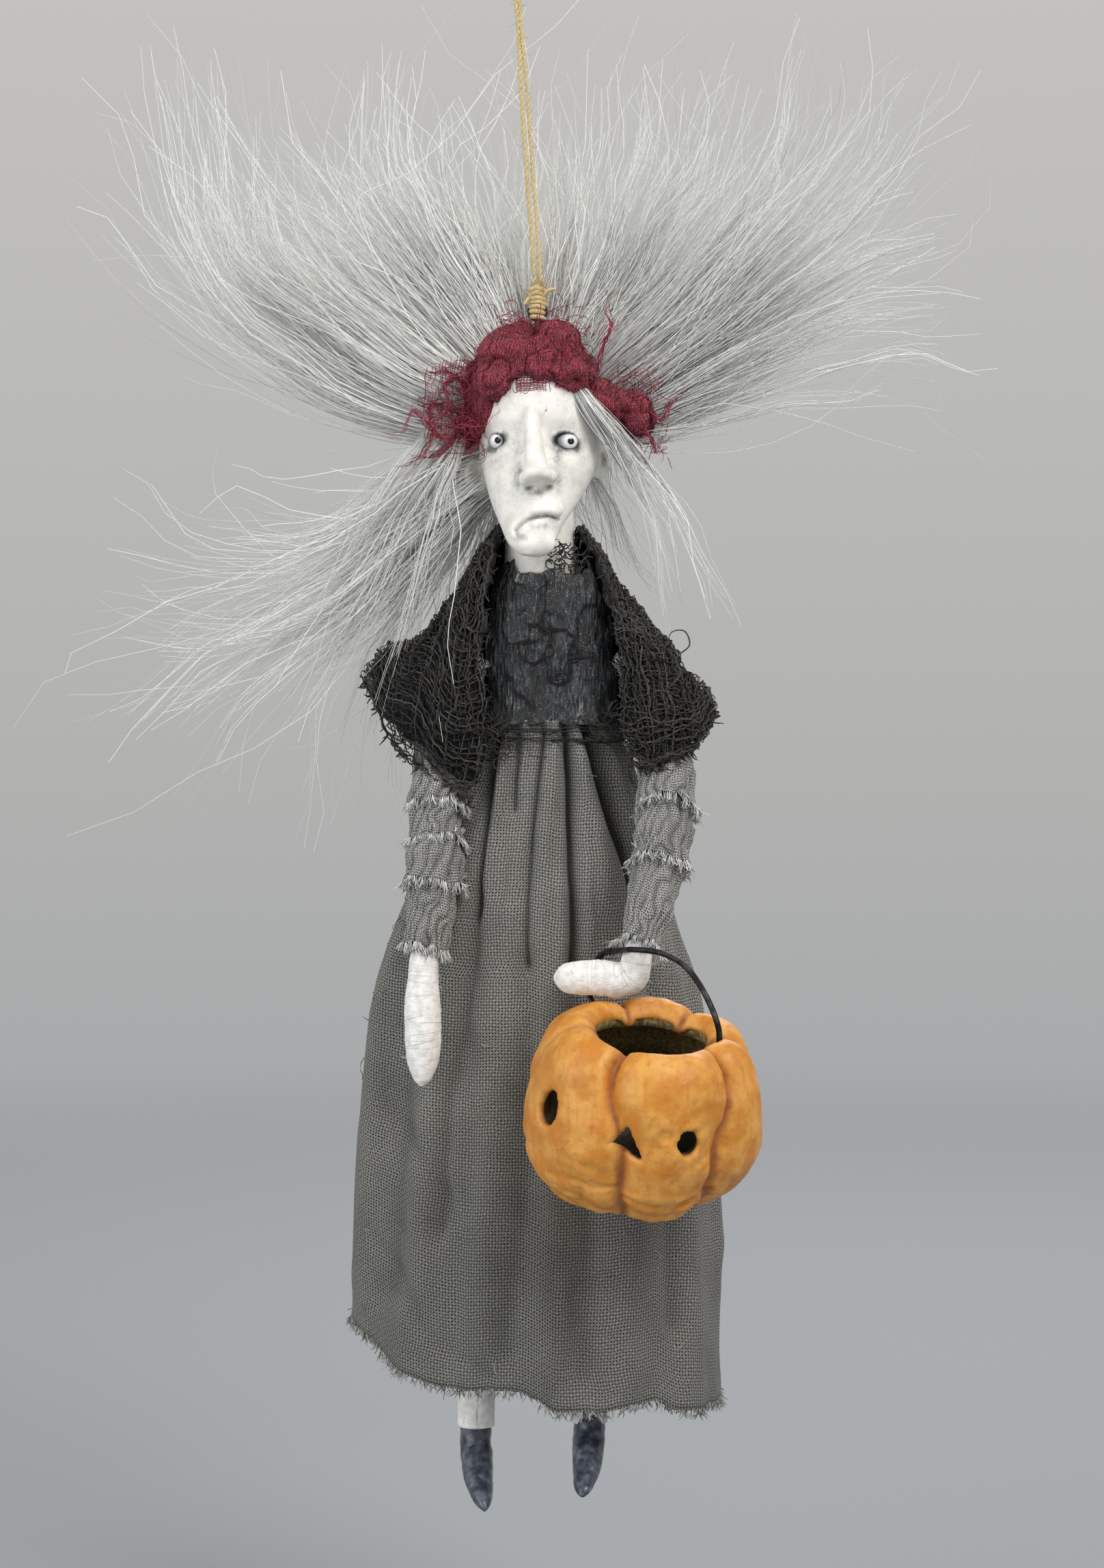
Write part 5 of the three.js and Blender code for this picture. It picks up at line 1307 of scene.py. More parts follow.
def make_bodice(settings):
    """The crinkled, painted bodice, and the dark net threads over its front and waist."""
    rows = [
        [119.5, 6.6, 6.6], [122, 8.2, 7.2], [124.5, 9.9, 7.6], [130, 11.4, 8.2], [138, 12.3, 8.7],
        [148, 12.2, 8.6], [151.5, 12.6, 8.9], [153.6, 13.7, 9.9],
    ]
    angle = turns(220)
    sine, cosine = np.sin(angle), np.cos(angle)
    share = np.linspace(0, 1, 126)[:, None]
    ragged = 0.7 * lumps(np.stack([5 * sine, 5 * cosine, 0 * sine], -1), 0.9, 2)
    level = 119.5 + 33.8 * share + (4.6 * smoothstep(0.0, 0.85, cosine) + 1.2 * ragged) * (1 - share) ** 4
    level = level + 0.9 * ragged * share**8
    wide, deep = np.moveaxis(profile(rows, np.maximum(level, 119.5)), -1, 0)
    x = wide * np.sign(sine) * np.abs(sine) ** 0.85
    y = -deep * np.sign(cosine) * np.abs(cosine) ** 0.85
    points = np.stack([x, y, -level], -1)
    out = unit(points * (1, 1.4, 0))
    swell = 0.24 * lumps(points / (1, 1, 6), 0.6, 3) + 0.28 * lumps(points / (1, 1, 3), 1.3, 4)
    swell += 0.6 * smoothstep(0.05, 0.4, lumps(points / (1, 1, 1.5), 3.6, 5)) + 0.3 * lumps(points, 7, 6)
    seam = bell(points[..., 0] + 2.0 + 0.4 * lumps(points, 2, 8), 0.4) * (points[..., 1] < 0)
    swell -= 0.7 * seam * smoothstep(152, 130, level)
    points = points + out * swell[..., None] + (TORSO_X, 0, 0)
    worn = np.zeros(points.shape[:2])
    for place in (
        (-4.1, -128.3), (-5, -136.7), (-3.6, -143), (-0.8, -149), (17.6, -129), (19.2, -136),
        (19.4, -143), (1, -125), (13, -151), (9, -124.6),
    ):
        worn += 0.9 * hill(points[..., [0, 2]].reshape(-1, 2), place, (1.3, 2.6)).reshape(worn.shape)
    both = np.concatenate([points, lining(points, 0.5)])
    form = Form().grid(both, ring=True, loop=True, worn=doubled(worn))
    bodice = form.make("bodice_look", bodice_finish("Bodice"))
    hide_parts("bodice")
    random = np.random.default_rng(61)
    lines = []
    for index in range(30):
        start = random.uniform(0, 2 * np.pi)
        turn = start + np.linspace(0, random.uniform(0.5, 1.8), 40) * random.choice([-1, 1])
        level = random.uniform(-157.2, -154.6) + np.linspace(0, random.uniform(-0.8, 0.8), 40)
        reach = np.array([14.1, 10.2]) + random.uniform(-0.2, 0.6)
        line = np.stack([TORSO_X + reach[0] * np.sin(turn), -reach[1] * np.cos(turn), level], -1)
        shift = np.stack([lumps(line, 1.4, index), 0 * turn, lumps(line, 1.4, index + 500)], -1)
        lines.append(line + 0.5 * shift)
    for middle, count in (
        ((-4.6, -9.6, -155.5), 60), ((-1.5, -10.6, -157.5), 26), ((19.4, -9.8, -153.5), 30),
    ):
        for _ in range(count):
            place = np.array(middle) + random.normal(size=3) * (1.9, 0.5, 2.4)
            way = random.normal(size=3) * (1, 0.2, 1)
            lines.append(curls(random, place, way, random.uniform(2, 7), 0.45, 0.45))
    shades = [random.uniform(0, 0.7) for _ in lines]
    tree = surface_tree(bodice)
    for patch in (
        [(0.4, -135), (5.6, -134.4), (6.2, -141), (1, -141.6), (0.2, -135.4)],
        [(6.6, -134.8), (11.8, -135.6), (11.2, -144.4), (7.2, -145), (6.4, -135.4)],
        [(-5.4, -139.4), (-2, -137.8), (0.6, -138.4), (4, -137.6)],
        [(5.2, -124.6), (5.6, -129), (5.4, -134.6)],
        [(-4.6, -143), (-1, -146), (3, -149.6)], [(12, -139), (15.4, -141), (18, -139.4)],
    ):
        for turn in range(4):
            route = spline([(a, -14, b) for a, b in patch], 60) + random.normal(0, 0.2, 3)
            route += 0.55 * drift(route, 1.2, 40 + 3 * turn)
            lines.append(laid_on(tree, route, 0.16))
            shades.append(-0.6)
    for _ in range(46):
        place = [random.uniform(*span) for span in ((7.5, 13), (-7.5, -5.5), (-124, -118.5))]
        way = random.normal(size=3) * (1, 0.2, 1)
        lines.append(curls(random, place, way, random.uniform(2, 6), 0.45, 0.5))
        shades.append(random.uniform(0, 0.8))
    shade = [np.full(len(line), value) for line, value in zip(lines, shades)]
    net = threads("waist_net", lines, 0.27, shawl_thread_finish(), 5, shade=shade, seed=9)
    for piece, slot in ((bodice, "bodice"), (net, "shawl")):
        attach(piece, "doll")
    wide = cloth_area(closed_ring(points)) / 34.0 * MM


def shawl_thread_finish():
    """Warm charcoal net threads."""
    known = bpy.data.materials.get("Net threads")
    return known or thread_finish("Net threads", (0.07, 0.068, 0.068), (0.31, 0.295, 0.285), 0.8)


# Shawl


MIDDLE_BACK = [
    (5.2, 8.2, -116.5), (5.8, 10.8, -123), (6.4, 12, -132), (7, 12.8, -142), (7.2, 12.8, -152),
    (7.2, 12.6, -161),
]
# Each half: ribs from the neck to the hem, from the inner front edge over the arm to the middle of the back
SHAWL = {
    "left": [
        [(-2, -1.5, -115.5), (-3.2, -5, -120), (-4.2, -7.8, -125), (-6, -8.8, -133),
         (-6.4, -9.4, -141), (-5.6, -10, -150), (-5.4, -11, -159.7), (-7.7, -11.4, -168.6)],
        [(-1.8, -0.5, -115.3), (-3.4, -3.6, -118.8), (-5, -6, -122), (-8.5, -9.5, -131), (-10.5, -13, -141),
         (-11.5, -14.5, -151), (-12, -14, -159), (-12.8, -13, -164.9)],
        [(-2, 0.5, -115.2), (-4.5, -2, -118.5), (-7.5, -4.5, -124), (-11.5, -7.5, -131.5),
         (-15.5, -11, -140), (-17.5, -12.5, -149), (-18.3, -10.5, -161.4)],
        [(-2.2, 1.5, -115.2), (-5, 0, -118.8), (-8.5, -2, -125.5), (-13, -3.5, -132.5), (-19.5, -6, -139),
         (-23, -8, -146), (-22.9, -7.5, -157)],
        [(-2.2, 2.5, -115.2), (-5, 1.5, -119.5), (-8.8, 0.8, -126.5), (-13.5, 0, -133), (-19, -0.5, -137.5),
         (-24.5, -2, -139.3), (-28.1, -4, -145.5)],
        [(-2, 3.5, -115.4), (-4.5, 4, -120), (-8, 4.5, -127), (-12.5, 5, -134), (-18, 4.5, -140),
         (-22.5, 3, -147), (-24, 0.5, -152)],
        [(-1.5, 5, -115.6), (-3, 7, -121), (-6, 8.4, -129), (-9.5, 9.2, -137), (-13, 8.6, -145),
         (-16, 7, -152), (-17.5, 5.5, -158)],
        [(0.5, 7, -116), (0, 9.5, -122), (-1.5, 11, -131), (-3.5, 11.8, -140), (-5.5, 11.8, -149),
         (-7, 11.4, -158)],
        MIDDLE_BACK,
    ],
    "right": [
        [(12.6, -1.5, -115.3), (14.8, -5, -119.5), (16.8, -7.8, -123.8), (19.4, -9, -130),
         (21.2, -10.6, -137), (21.2, -12.6, -148), (21.8, -15.5, -156), (22.5, -17, -161)],
        [(12.3, -0.5, -115.2), (14.6, -4.2, -119.5), (17, -7.4, -125.5), (20, -10.8, -132),
         (22.8, -14.5, -140), (24.2, -18, -149), (25, -19.5, -157), (25.5, -20, -161.8)],
        [(12.4, 0.5, -115.2), (15.4, -2.6, -119.5), (18.6, -5.4, -126), (22.5, -9, -133), (27, -14, -141),
         (29.3, -18.5, -149), (29.8, -20, -156), (29.5, -20, -160.3)],
        [(12.4, 1.5, -115.2), (16, -1, -120), (19.6, -3, -126.5), (24.6, -5.5, -133.5), (30.5, -10, -142),
         (34, -14.5, -149.5), (34.8, -16.5, -154.5), (34.2, -17, -158)],
        [(12.4, 2.5, -115.2), (16.5, 1, -120.4), (20, -0.5, -126.5), (26.1, -2, -134), (32.2, -5.5, -142.6),
         (36.7, -9, -148.7), (37.4, -10, -152.5)],
        [(12.2, 3.5, -115.4), (16, 4, -121), (19.5, 4.6, -128), (25, 4.4, -136), (30, 2, -144),
         (33, -2, -151), (33.5, -4, -156)],
        [(11.6, 5, -115.6), (14, 7.2, -121.5), (17.5, 8.6, -130), (21.5, 8.8, -139), (25, 7.4, -148),
         (26.5, 5, -157)],
        [(9.6, 7, -116), (11, 9.6, -122), (13, 11, -131), (15.5, 11.8, -141), (17, 11.8, -151),
         (17.6, 11.4, -160)],
        MIDDLE_BACK,
    ],
}


def swayed(places, start, seed):
    """Smooth sideways shifts at places along a thread, each thread with a start of its own."""
    return lumps(np.stack([places, 0 * places + start, 0 * places], -1), 1.0, seed)


def make_shawl(settings):
    """Open charcoal net over each arm, on a near-black crumpled sheet of painted shade, with frayed edges.
    """
    finish = shawl_thread_finish()
    # Painted shade: a near-black crumpled sheet under the net stands for the shade in its gaps and deeper
    # layers.
    under = shade_layer_finish("Net shade_layer", (0.03, 0.03, 0.03), (0.1, 0.095, 0.095))
    rows, columns = 110, 130
    down_end, along_end = rows - 1, columns - 1
    for number, (side, ribs) in enumerate(SHAWL.items()):
        random = np.random.default_rng(71 + number)
        grid = skin(ribs, rows, columns)
        out = surface_normals(grid)
        if out[..., 2].mean() < 0:
            out = -out
        ripple = 0.9 * lumps(grid, 5.5, 1) + 0.5 * lumps(grid, 2.2, 2)
        grid = grid + out * (ripple * smoothstep(0, 0.25, np.linspace(0, 1, rows))[:, None])[..., None]
        covered = slice(7, 104)
        base = grid[covered] + out[covered] * (0.3 * lumps(grid[covered], 1.1, 3))[..., None]
        inner = base - out[covered] * 0.35
        cloth = Form().grid(np.concatenate([base, inner[::-1]]), loop=True)
        for column in (0, -1):
            cloth.grid(np.stack([base[:, column], inner[:, column]], 1))
        cloth = cloth.make(f"shawl_{side}_underlayer", under)
        lines = []
        warps = int(cloth_length(grid)[60, -1] / 0.98)
        wefts = int(1.12 * np.linalg.norm(np.diff(grid[:, 40], axis=0), axis=1).sum())
        for lift, kept, loose in ((0.45, 1.0, 0.9), (1.05, 0.55, 3.0)):
            for index in range(warps):
                if random.uniform() > kept:
                    continue
                column = along_end * (index + random.uniform(-0.3, 0.3)) / (warps - 1)
                down = np.linspace(random.uniform(0, 2), down_end, 92)
                sway = column + loose * swayed(down * 0.12, index * 3.1, 8)
                over = lift + 0.24 * np.sign(np.sin(np.pi * (down / down_end * wefts + index)))
                lines.append(on_grid(grid, down, sway) + on_grid(out, down, sway) * over[:, None])
            for index in range(wefts):
                if random.uniform() > kept:
                    continue
                row = down_end * (index + random.uniform(-0.3, 0.3)) / (wefts - 1)
                along = np.linspace(0, along_end, 102)
                sway = row + loose * swayed(along * 0.1, index * 2.3, 9)
                over = lift - 0.24 * np.sign(np.sin(np.pi * (along / along_end * warps + index)))
                lines.append(on_grid(grid, sway, along) + on_grid(out, sway, along) * over[:, None])
        lines = [line + 0.4 * drift(line, 0.75, 11) for line in lines]
        for _ in range(150):
            column = random.integers(0, columns)
            way = unit(grid[-1, column] - grid[-6, column]) + random.normal(size=3) * 0.35
            lines.append(curls(random, grid[-1, column], way, random.uniform(0.8, 3.6), 0.45, 0.35))
        for _ in range(60):
            row, way = random.integers(4, 108), grid[:, 0] - grid[:, 6]
            way = unit(way[row]) + random.normal(size=3) * 0.5
            lines.append(curls(random, grid[row, 0], way, random.uniform(0.5, 2.2), 0.45, 0.4))
        if side == "right":
            hook = [
                (29.6, -18.2, -147), (31.9, -18, -144.2), (31, -19, -141.4), (33.6, -19.5, -138.8),
                (32.6, -19.8, -136.2), (30.2, -19.8, -136.4), (29.3, -19.6, -138.8),
            ]
            lines.append(spline(hook, 40))
        net = threads(f"shawl_{side}_net", lines, settings.net_thread, finish, 3, seed=20 + number)
        for piece in (cloth, net):
            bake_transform(piece)
        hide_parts(f"shawl_wing_{side}")
        if side == "left":
            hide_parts("shawl_collar")


# Skirt


SKIRT_ROWS = [
    [0, 13, 9.2, 0], [0.024, 12.7, 9, 0], [0.06, 14.6, 10, -0.2], [0.28, 25.2, 12.8, -1.6],
    [0.41, 30.6, 13.5, -2.1], [0.55, 33.5, 14.4, -2.4], [0.75, 35.3, 17.6, -2.7], [1, 36, 21, -2.9],
]
# Sharp pleat valleys seen on its front, x and height along each, then width and depth
PLEATS = [
    ([(5.9, -155), (3.4, -174.4), (2.6, -185), (2.2, -200)], 1.5, 2),
    ([(10.2, -154), (11.2, -164), (12.2, -200)], 1.3, 3),
    ([(15.4, -153), (18.4, -163), (22, -174), (24.6, -182), (26, -192)], 2.4, 4),
    ([(19.6, -153), (23, -161), (26.8, -176)], 1.3, 1.6), ([(0.2, -155), (-0.2, -170)], 1.2, 1.6),
    ([(-4.2, -155), (-6, -172), (-8.2, -190)], 1.6, 2.4),
    ([(-8, -156), (-12.4, -172), (-15.6, -190)], 1.3, 1.6),
]
# Broad soft folds: the same, where a depth below 0 stands out
FOLDS = [
    ([(-8.1, -189), (-9, -201), (-11, -212), (-13.5, -224), (-15, -250)], 2.6, 1.9),
    ([(13, -200), (15, -240), (14, -276)], 3.4, 1.3),
    ([(-19, -196), (-22, -232), (-24, -262)], 2.8, 1.6), ([(27, -190), (31, -232), (32, -268)], 2.8, 1.6),
    ([(2.6, -200), (2, -240), (-2, -272)], 3.4, 1.3), ([(-3, -190), (-5, -230), (-6, -272)], 3.2, -1.1),
    ([(8, -186), (8.4, -236), (7, -276)], 3.4, -1.2), ([(20, -200), (23, -240), (23, -276)], 3.2, -1.1),
    ([(-27, -252), (-15, -270), (-4, -277)], 1.6, 0.7), ([(-25, -226), (-12, -246)], 1.8, 0.6),
]
# Height of the hem across the skirt
HEM = [
    (-31, -269), (-21, -277), (-12.3, -280), (-4.7, -279.4), (1.8, -280.2), (7.7, -283), (17, -283.4),
    (25.1, -282), (34.4, -284.9), (41, -284.6),
]


def make_skirt(settings):
    """The gathered grey linen skirt with a frayed hem."""
    columns = 380
    front_column = columns // 2
    share = np.concatenate([np.linspace(0, 0.16, 26, endpoint=False), np.linspace(0.16, 1, 70)])
    angle = np.linspace(-np.pi, np.pi, columns, endpoint=False)
    wide, deep, shift = profile(SKIRT_ROWS, share).T
    waist = smoothstep(0, 0.06, share)[:, None]
    column = share[:, None]
    fold = 0.8 * waist * (1 - 0.35 * column) * np.cos(11 * angle + 0.7 + 1.1 * column)
    gathers = np.abs(np.sin(16 * angle + 2.2 * np.sin(3 * angle) + 3 * column)) - 0.6
    behind = 1 - 0.7 * smoothstep(-0.2, 0.5, np.cos(angle))
    fold = fold + 1.5 * gathers * behind * (1 - smoothstep(0.02, 0.42, share))[:, None]
    x = TORSO_X + shift[:, None] + (wide[:, None] + fold) * np.sin(angle)
    y = -(deep[:, None] + fold) * np.cos(angle)
    edge = np.interp(x[-1], *zip(*HEM))
    uneven = lumps(np.stack([10 * angle, 0 * angle, 0 * angle], -1), 1.2, 4)
    edge += 0.6 * uneven + 1.2 * (np.cos(angle) < 0)
    z = -152.8 + column * (edge + 152.8)
    points = np.stack([x, y, z], -1)
    out = unit(points * (1, 1, 0) - (TORSO_X, 0, 0))
    swell = 0.7 * lumps(points / (1, 1, 3), 7, 5) * waist + 0.25 * lumps(points / (1, 1, 2), 2.6, 6)
    front = smoothstep(1, 5, -points[..., 1])
    flat = points[..., [0, 2]].reshape(-1, 2)
    # Painted shade: darker towards the hem, in a band just under the bodice's edge, and along the valleys
    # of the pleats and folds.
    crease = 0.2 * (1 - smoothstep(-262, -190, points[..., 2])) + 0.12 * (points[..., 2] > -155.6)
    for line, width, depth in PLEATS:
        away = line_distance(flat, line).reshape(front.shape)
        swell = swell + (0.3 * depth * hill_line(away, width) - depth * np.exp(-away / width)) * front
        crease += 0.36 * depth * bell(away, 0.25 + 0.13 * depth) * front
    for line, width, depth in FOLDS:
        away = line_distance(flat, line).reshape(front.shape)
        swell = swell - depth * bell(away, width) * front
        crease += 0.12 * max(depth, 0) * bell(away, 0.5 * width) * front
    crease = np.clip(crease, 0, 0.85)
    points = points + out * swell[..., None]
    stain = hill(flat, (10.5, -229), (5.5, 20)).reshape(front.shape) * front
    run = cloth_length(closed_ring(points))
    run = run - run[:, [front_column]]
    down = np.repeat(-points[:, [front_column], 2], columns + 1, 1)
    uv = np.stack([run, down], -1)
    both = np.concatenate([points, lining(points, 0.5)])
    form = Form().grid(
        both, uv=doubled(uv), ring=True, loop=True, stain=doubled(stain), crease=doubled(crease)
    )
    light, pitch = tuple(settings.linen_colour), settings.thread_pitch
    linen = weave_finish("Linen", (0.07, 0.068, 0.065), light, pitch, stain=(0.36, 0.33, 0.25))
    skirt = form.make("skirt_look", linen)
    random = np.random.default_rng(81)
    lines = []
    for _ in range(1000):
        place = points[-1, random.integers(0, columns)] + (0, 0, 0.3)
        way = (random.normal() * 0.35, random.normal() * 0.35, -1)
        lines.append(curls(random, place, way, random.uniform(0.8, 3.0), 0.4, 0.2))
    for _ in range(70):
        row, at = random.integers(8, 95), random.integers(0, columns)
        place = points[row, at] + out[row, at] * 0.2
        lines.append(curls(random, place, random.normal(size=3), 2.6, 0.4, 0.3))
    thread = thread_finish("Linen threads", (0.3, 0.3, 0.29), (0.72, 0.71, 0.69), 0.85)
    fringe = threads("skirt_fringe", lines, 0.2, thread, 4, seed=12)
    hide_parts("skirt")
    for piece in (skirt, fringe):
        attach(piece, "doll")
    flat = (cloth_area(closed_ring(points)) / 132 * MM, 0.132)


# Sleeves and hands


ARMS = {
    "left": [(-6.2, 0, -134.1), (-11.2, -3.6, -149.1), (-14.4, -8.2, -166.1), (-14.8, -11.8, -181.1),
             (-16.4, -15.5, -196.5)],
    "right": [(21, 0, -134.1), (26.4, -7, -148.1), (29.4, -14.5, -162.1), (28, -22.5, -178.1),
              (23.8, -31.5, -195.6)],
}
# Strips wound round each arm: share of the arm where one starts and ends, and its radius there
STRIPS = {
    "left": [(0.13, 0.545, 4.1, 5.3), (0.53, 0.66, 4.5, 5.2), (0.645, 0.795, 4.6, 5.5),
             (0.775, 0.992, 4.6, 3.7)],
    "right": [(0.13, 0.445, 4.1, 5.1), (0.43, 0.615, 4.7, 5.4), (0.6, 0.775, 4.6, 5.2),
              (0.755, 0.992, 4.5, 3.7)],
}
HANDS = {
    "left": (
        [(-16.44, -15.59, -196.4), (-16.71, -16.22, -199.5), (-16.94, -16.99, -206.07),
         (-16.84, -17.19, -215.2), (-17.14, -16.79, -222.4)],
        [[0, 2.6, 2.3], [0.3, 3, 2.6], [0.62, 3.6, 2.9], [0.85, 2.9, 2.4], [0.96, 1.6, 1.4],
         [1, 0.5, 0.5]],
    ),
    "right": (
        [(23.9, -31.4, -195.3), (23.38, -32.39, -197.04), (21.92, -32.08, -200.75), (15.62, -31.88, -200.9),
         (7.9, -31.68, -201)],
        [[0, 2.9, 2.8], [0.14, 2.9, 2.8], [0.34, 3.1, 2.9], [0.62, 3.5, 3], [0.8, 3.4, 3],
         [0.91, 2.9, 2.5], [0.97, 1.9, 1.7], [1, 0.5, 0.5]],
    ),
}


def from_bail(points):
    """How far each point is from the nearest place the bail's wire passes as it swings."""
    wire, pin = spline(BAIL, 120), np.array([19.5, -32.1, -195.9])
    swings = [np.array(Matrix.Rotation(math.radians(-angle), 3, "X")) for angle in (0, 2.5, 5, 7.5, 10)]
    swept = np.concatenate([(wire - pin) @ swing.T + pin for swing in swings])
    away = np.empty(len(points))
    for start in range(0, len(points), 500):
        part = points[start:start + 500]
        away[start:start + 500] = np.linalg.norm(part[:, None] - swept, axis=-1).min(1)
    return away


def make_sleeves(settings):
    """Frayed linen strips wound round each arm."""
    dark, light = (0.08, 0.078, 0.075), (0.7, 0.695, 0.68)
    linen = weave_finish("Sleeve linen", dark, light, settings.thread_pitch * 0.9, roughness=0.6)
    # Painted sheen: the frays run up to near-white, paler than the linen they come from.
    thread = thread_finish("Sleeve threads", (0.5, 0.5, 0.49), (1.0, 1.0, 0.99), 0.32)
    for arm, (side, strips) in enumerate(STRIPS.items()):
        random = np.random.default_rng(91 + arm)
        for number, (start, end, first, last) in enumerate(strips, 1):
            middle = (start + end) / 2
            first, last = first - 0.3, last - 0.3
            bulge = max(first, last) + 0.1
            rows = [[0, first], [start, first], [middle, bulge], [end, last], [1.01, last]]
            rows = [[place, wide, wide] for place, wide in rows]
            steps, sides = 44, 90
            rings = rings_along(ARMS[side], rows, steps, sides, span=(start, end))
            centre = rings.mean(1, keepdims=True)
            out = unit(rings - centre)
            turn = turns(sides)[None]
            down = np.linspace(0, 1, steps + 1)[:, None]
            gather = ridges(7 * turn / np.pi + 1.6 * down + number + 0.8 * lumps(rings, 3, number + 4))
            swell = 0.7 * (gather - 0.5) + 0.5 * lumps(rings, 3, number)
            swell = swell + 0.6 * lumps(rings / (1, 1, 2.5), 1.7, number + 9)
            swell = swell + 0.3 * smoothstep(0.8, 1.0, down) * (0.6 + 0.6 * np.sin(3 * turn + number))
            points = rings + out * swell[..., None]
            ragged = lumps(np.repeat(out[:1] * 3, steps + 1, 0), 1.1, number + 3)
            points[..., 2] += 0.9 * ragged * (0.25 + down)
            run = cloth_length(closed_ring(points))
            tall = np.linalg.norm(np.diff(points, axis=0), axis=-1).mean(1).sum()
            level = np.repeat(tall * down, sides + 1, 1)
            uv = np.stack([run, level], -1)
            inner = (points - out * 0.4)[::-1]
            # Painted shade in the gathers' valleys, stronger towards each strip's lower end.
            crease = 0.9 * (1 - gather) ** 2.5 * (0.3 + 0.7 * down)
            both = np.concatenate([points, inner])
            form = Form().grid(both, uv=doubled(uv), ring=True, loop=True, crease=doubled(crease))
            sleeve = form.make(f"sleeve_{side}_{number}_look", linen)
            lines = []
            for edge, before, count, reach, longest in ((44, 41, 420, 1.0, 1.0), (0, 3, 110, 0.5, 0.6)):
                for _ in range(count):
                    at = random.integers(0, sides)
                    way = unit(points[edge, at] - points[before, at]) * reach + random.normal(size=3) * 0.14
                    way = way + out[edge, at] * 0.12
                    length = random.uniform(0.9, 3.0) * longest
                    line = curls(random, points[edge, at], way, length, 0.4, 0.13)
                    if side == "left" or number < 4 or from_bail(line).min() > 0.95:
                        lines.append(line)
            frays = threads(f"sleeve_{side}_{number}_frays", lines, 0.2, thread, 3, seed=number)
            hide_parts(f"sleeve_{side}_{number}")
            for piece in (sleeve, frays):
                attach(piece, f"{side}_arm")
            tall = float(tall)


def make_hands(settings):
    """Mitten hands wound with white fibre."""
    finish = fibre_finish("Hand fibre")
    thread = thread_finish("Hand threads", (0.8, 0.79, 0.78), (0.99, 0.98, 0.97), 0.8)
    for arm, (side, (route, rows)) in enumerate(HANDS.items()):
        random = np.random.default_rng(95 + arm)
        rings = rings_along(route, rows, 130, 72)
        out = unit(rings - rings.mean(1, keepdims=True))
        turn = turns(72)[None]
        down = np.linspace(0, 1, 131)[:, None]
        winding = ridges(26 * down + 0.5 * turn / np.pi + 0.8 * lumps(rings, 4, 3))
        swell = 0.04 * winding + 0.2 * lumps(rings, 3.2, 1) + 0.06 * lumps(rings, 1.1, 2) - 0.14
        points = rings + out * swell[..., None]
        points[0] = rings[0]
        if side == "right":
            close = np.maximum(0, 1.05 - from_bail(points.reshape(-1, 3))).reshape(swell.shape)
            points = points - out * close[..., None]
        hand = Form().loft(points).make(f"hand_{side}_look", finish)
        lines = []
        for _ in range(50):
            start, span = random.uniform(2, 118), random.uniform(0.8, 3.0)
            along = start + np.linspace(0, random.uniform(-9, 9), 26)
            around = (random.uniform(0, 72) + np.linspace(0, span * 11.5, 26)) % 71
            jump = np.abs(np.diff(around)) > 20
            if jump.any():
                cut = int(np.argmax(jump)) + 1
                along, around = along[:cut], around[:cut]
            if len(along) < 5:
                continue
            lift = random.uniform(0.0, 0.05)
            lines.append(on_grid(points, along, around) + on_grid(out, along, around) * lift)
        for _ in range(16):
            row, at = random.integers(3, 128), random.integers(0, 72)
            way = out[row, at] + random.normal(size=3)
            lines.append(curls(random, points[row, at], way, 1.8, 0.3, 0.4))
        if side == "right":
            lines = [line for line in lines if from_bail(line).min() > 0.8 and line[:, 2].min() > -203.2]
        windings = threads(f"hand_{side}_windings", lines, 0.1, thread, 4, seed=31)
        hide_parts(f"hand_{side}")
        for piece in (hand, windings):
            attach(piece, f"{side}_arm")


# Boots


def make_boots(settings):
    """Glossy slate boots that point forwards and down, and the white wrapping of the legs above them."""
    paint = boot_finish("Boot", tuple(settings.boot_colour))
    wrap = fibre_finish("Leg fibre")
    for side, foot, toe, top in (("left", -7.2, 2.0, -289.3), ("right", 14.9, -1.6, -284.6)):
        form = Form()
        low = top - 14.6 if side == "left" else top - 16.8
        route = [
            (foot, 0.2, top), (foot, -0.4, top - 5), (foot + 0.35 * toe, -6.0, low + 4.4),
            (foot + toe, -12.8, low),
        ]
        rows = [
            [0, 3, 3.1], [0.25, 3, 3.4], [0.5, 3.1, 3.3], [0.75, 2.6, 2.1], [0.92, 1.6, 1.3],
            [1, 0.5, 0.5],
        ]
        form.loft(rings_along(route, rows, 34, 26, thin=(0, 0.6, 0.8)))
        form.loft(ellipsoid((foot, 1.3, low + 5.6), (2.6, 3.3, 3.4)))
        boot = remeshed(form.make(f"boot_{side}_look"), 0.3, 12)
        points = coordinates(boot.data)
        swell = 0.16 * lumps(points, 2.6, 1) + 0.07 * lumps(points, 0.9, 2)
        place_points(boot.data, points + normals(boot.data) * swell[:, None])
        boot.data.materials.append(paint)
        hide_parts(f"boot_{side}")
        shin = spline([(foot, 0.2, top + 14), (foot, 0.2, top + 6), (foot, 0.2, top - 1)], 24)
        shin = np.array(tube(shin, 3.6, 40))
        shin += unit(shin - shin.mean(1, keepdims=True)) * (0.14 * lumps(shin, 2.4, 3))[..., None]
        sock = Form().loft(shin).make(f"leg_{side}_wrap", wrap)
        for piece, slot in ((boot, "boot"), (sock, "leg")):
            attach(piece, f"{side}_leg")


# Lantern


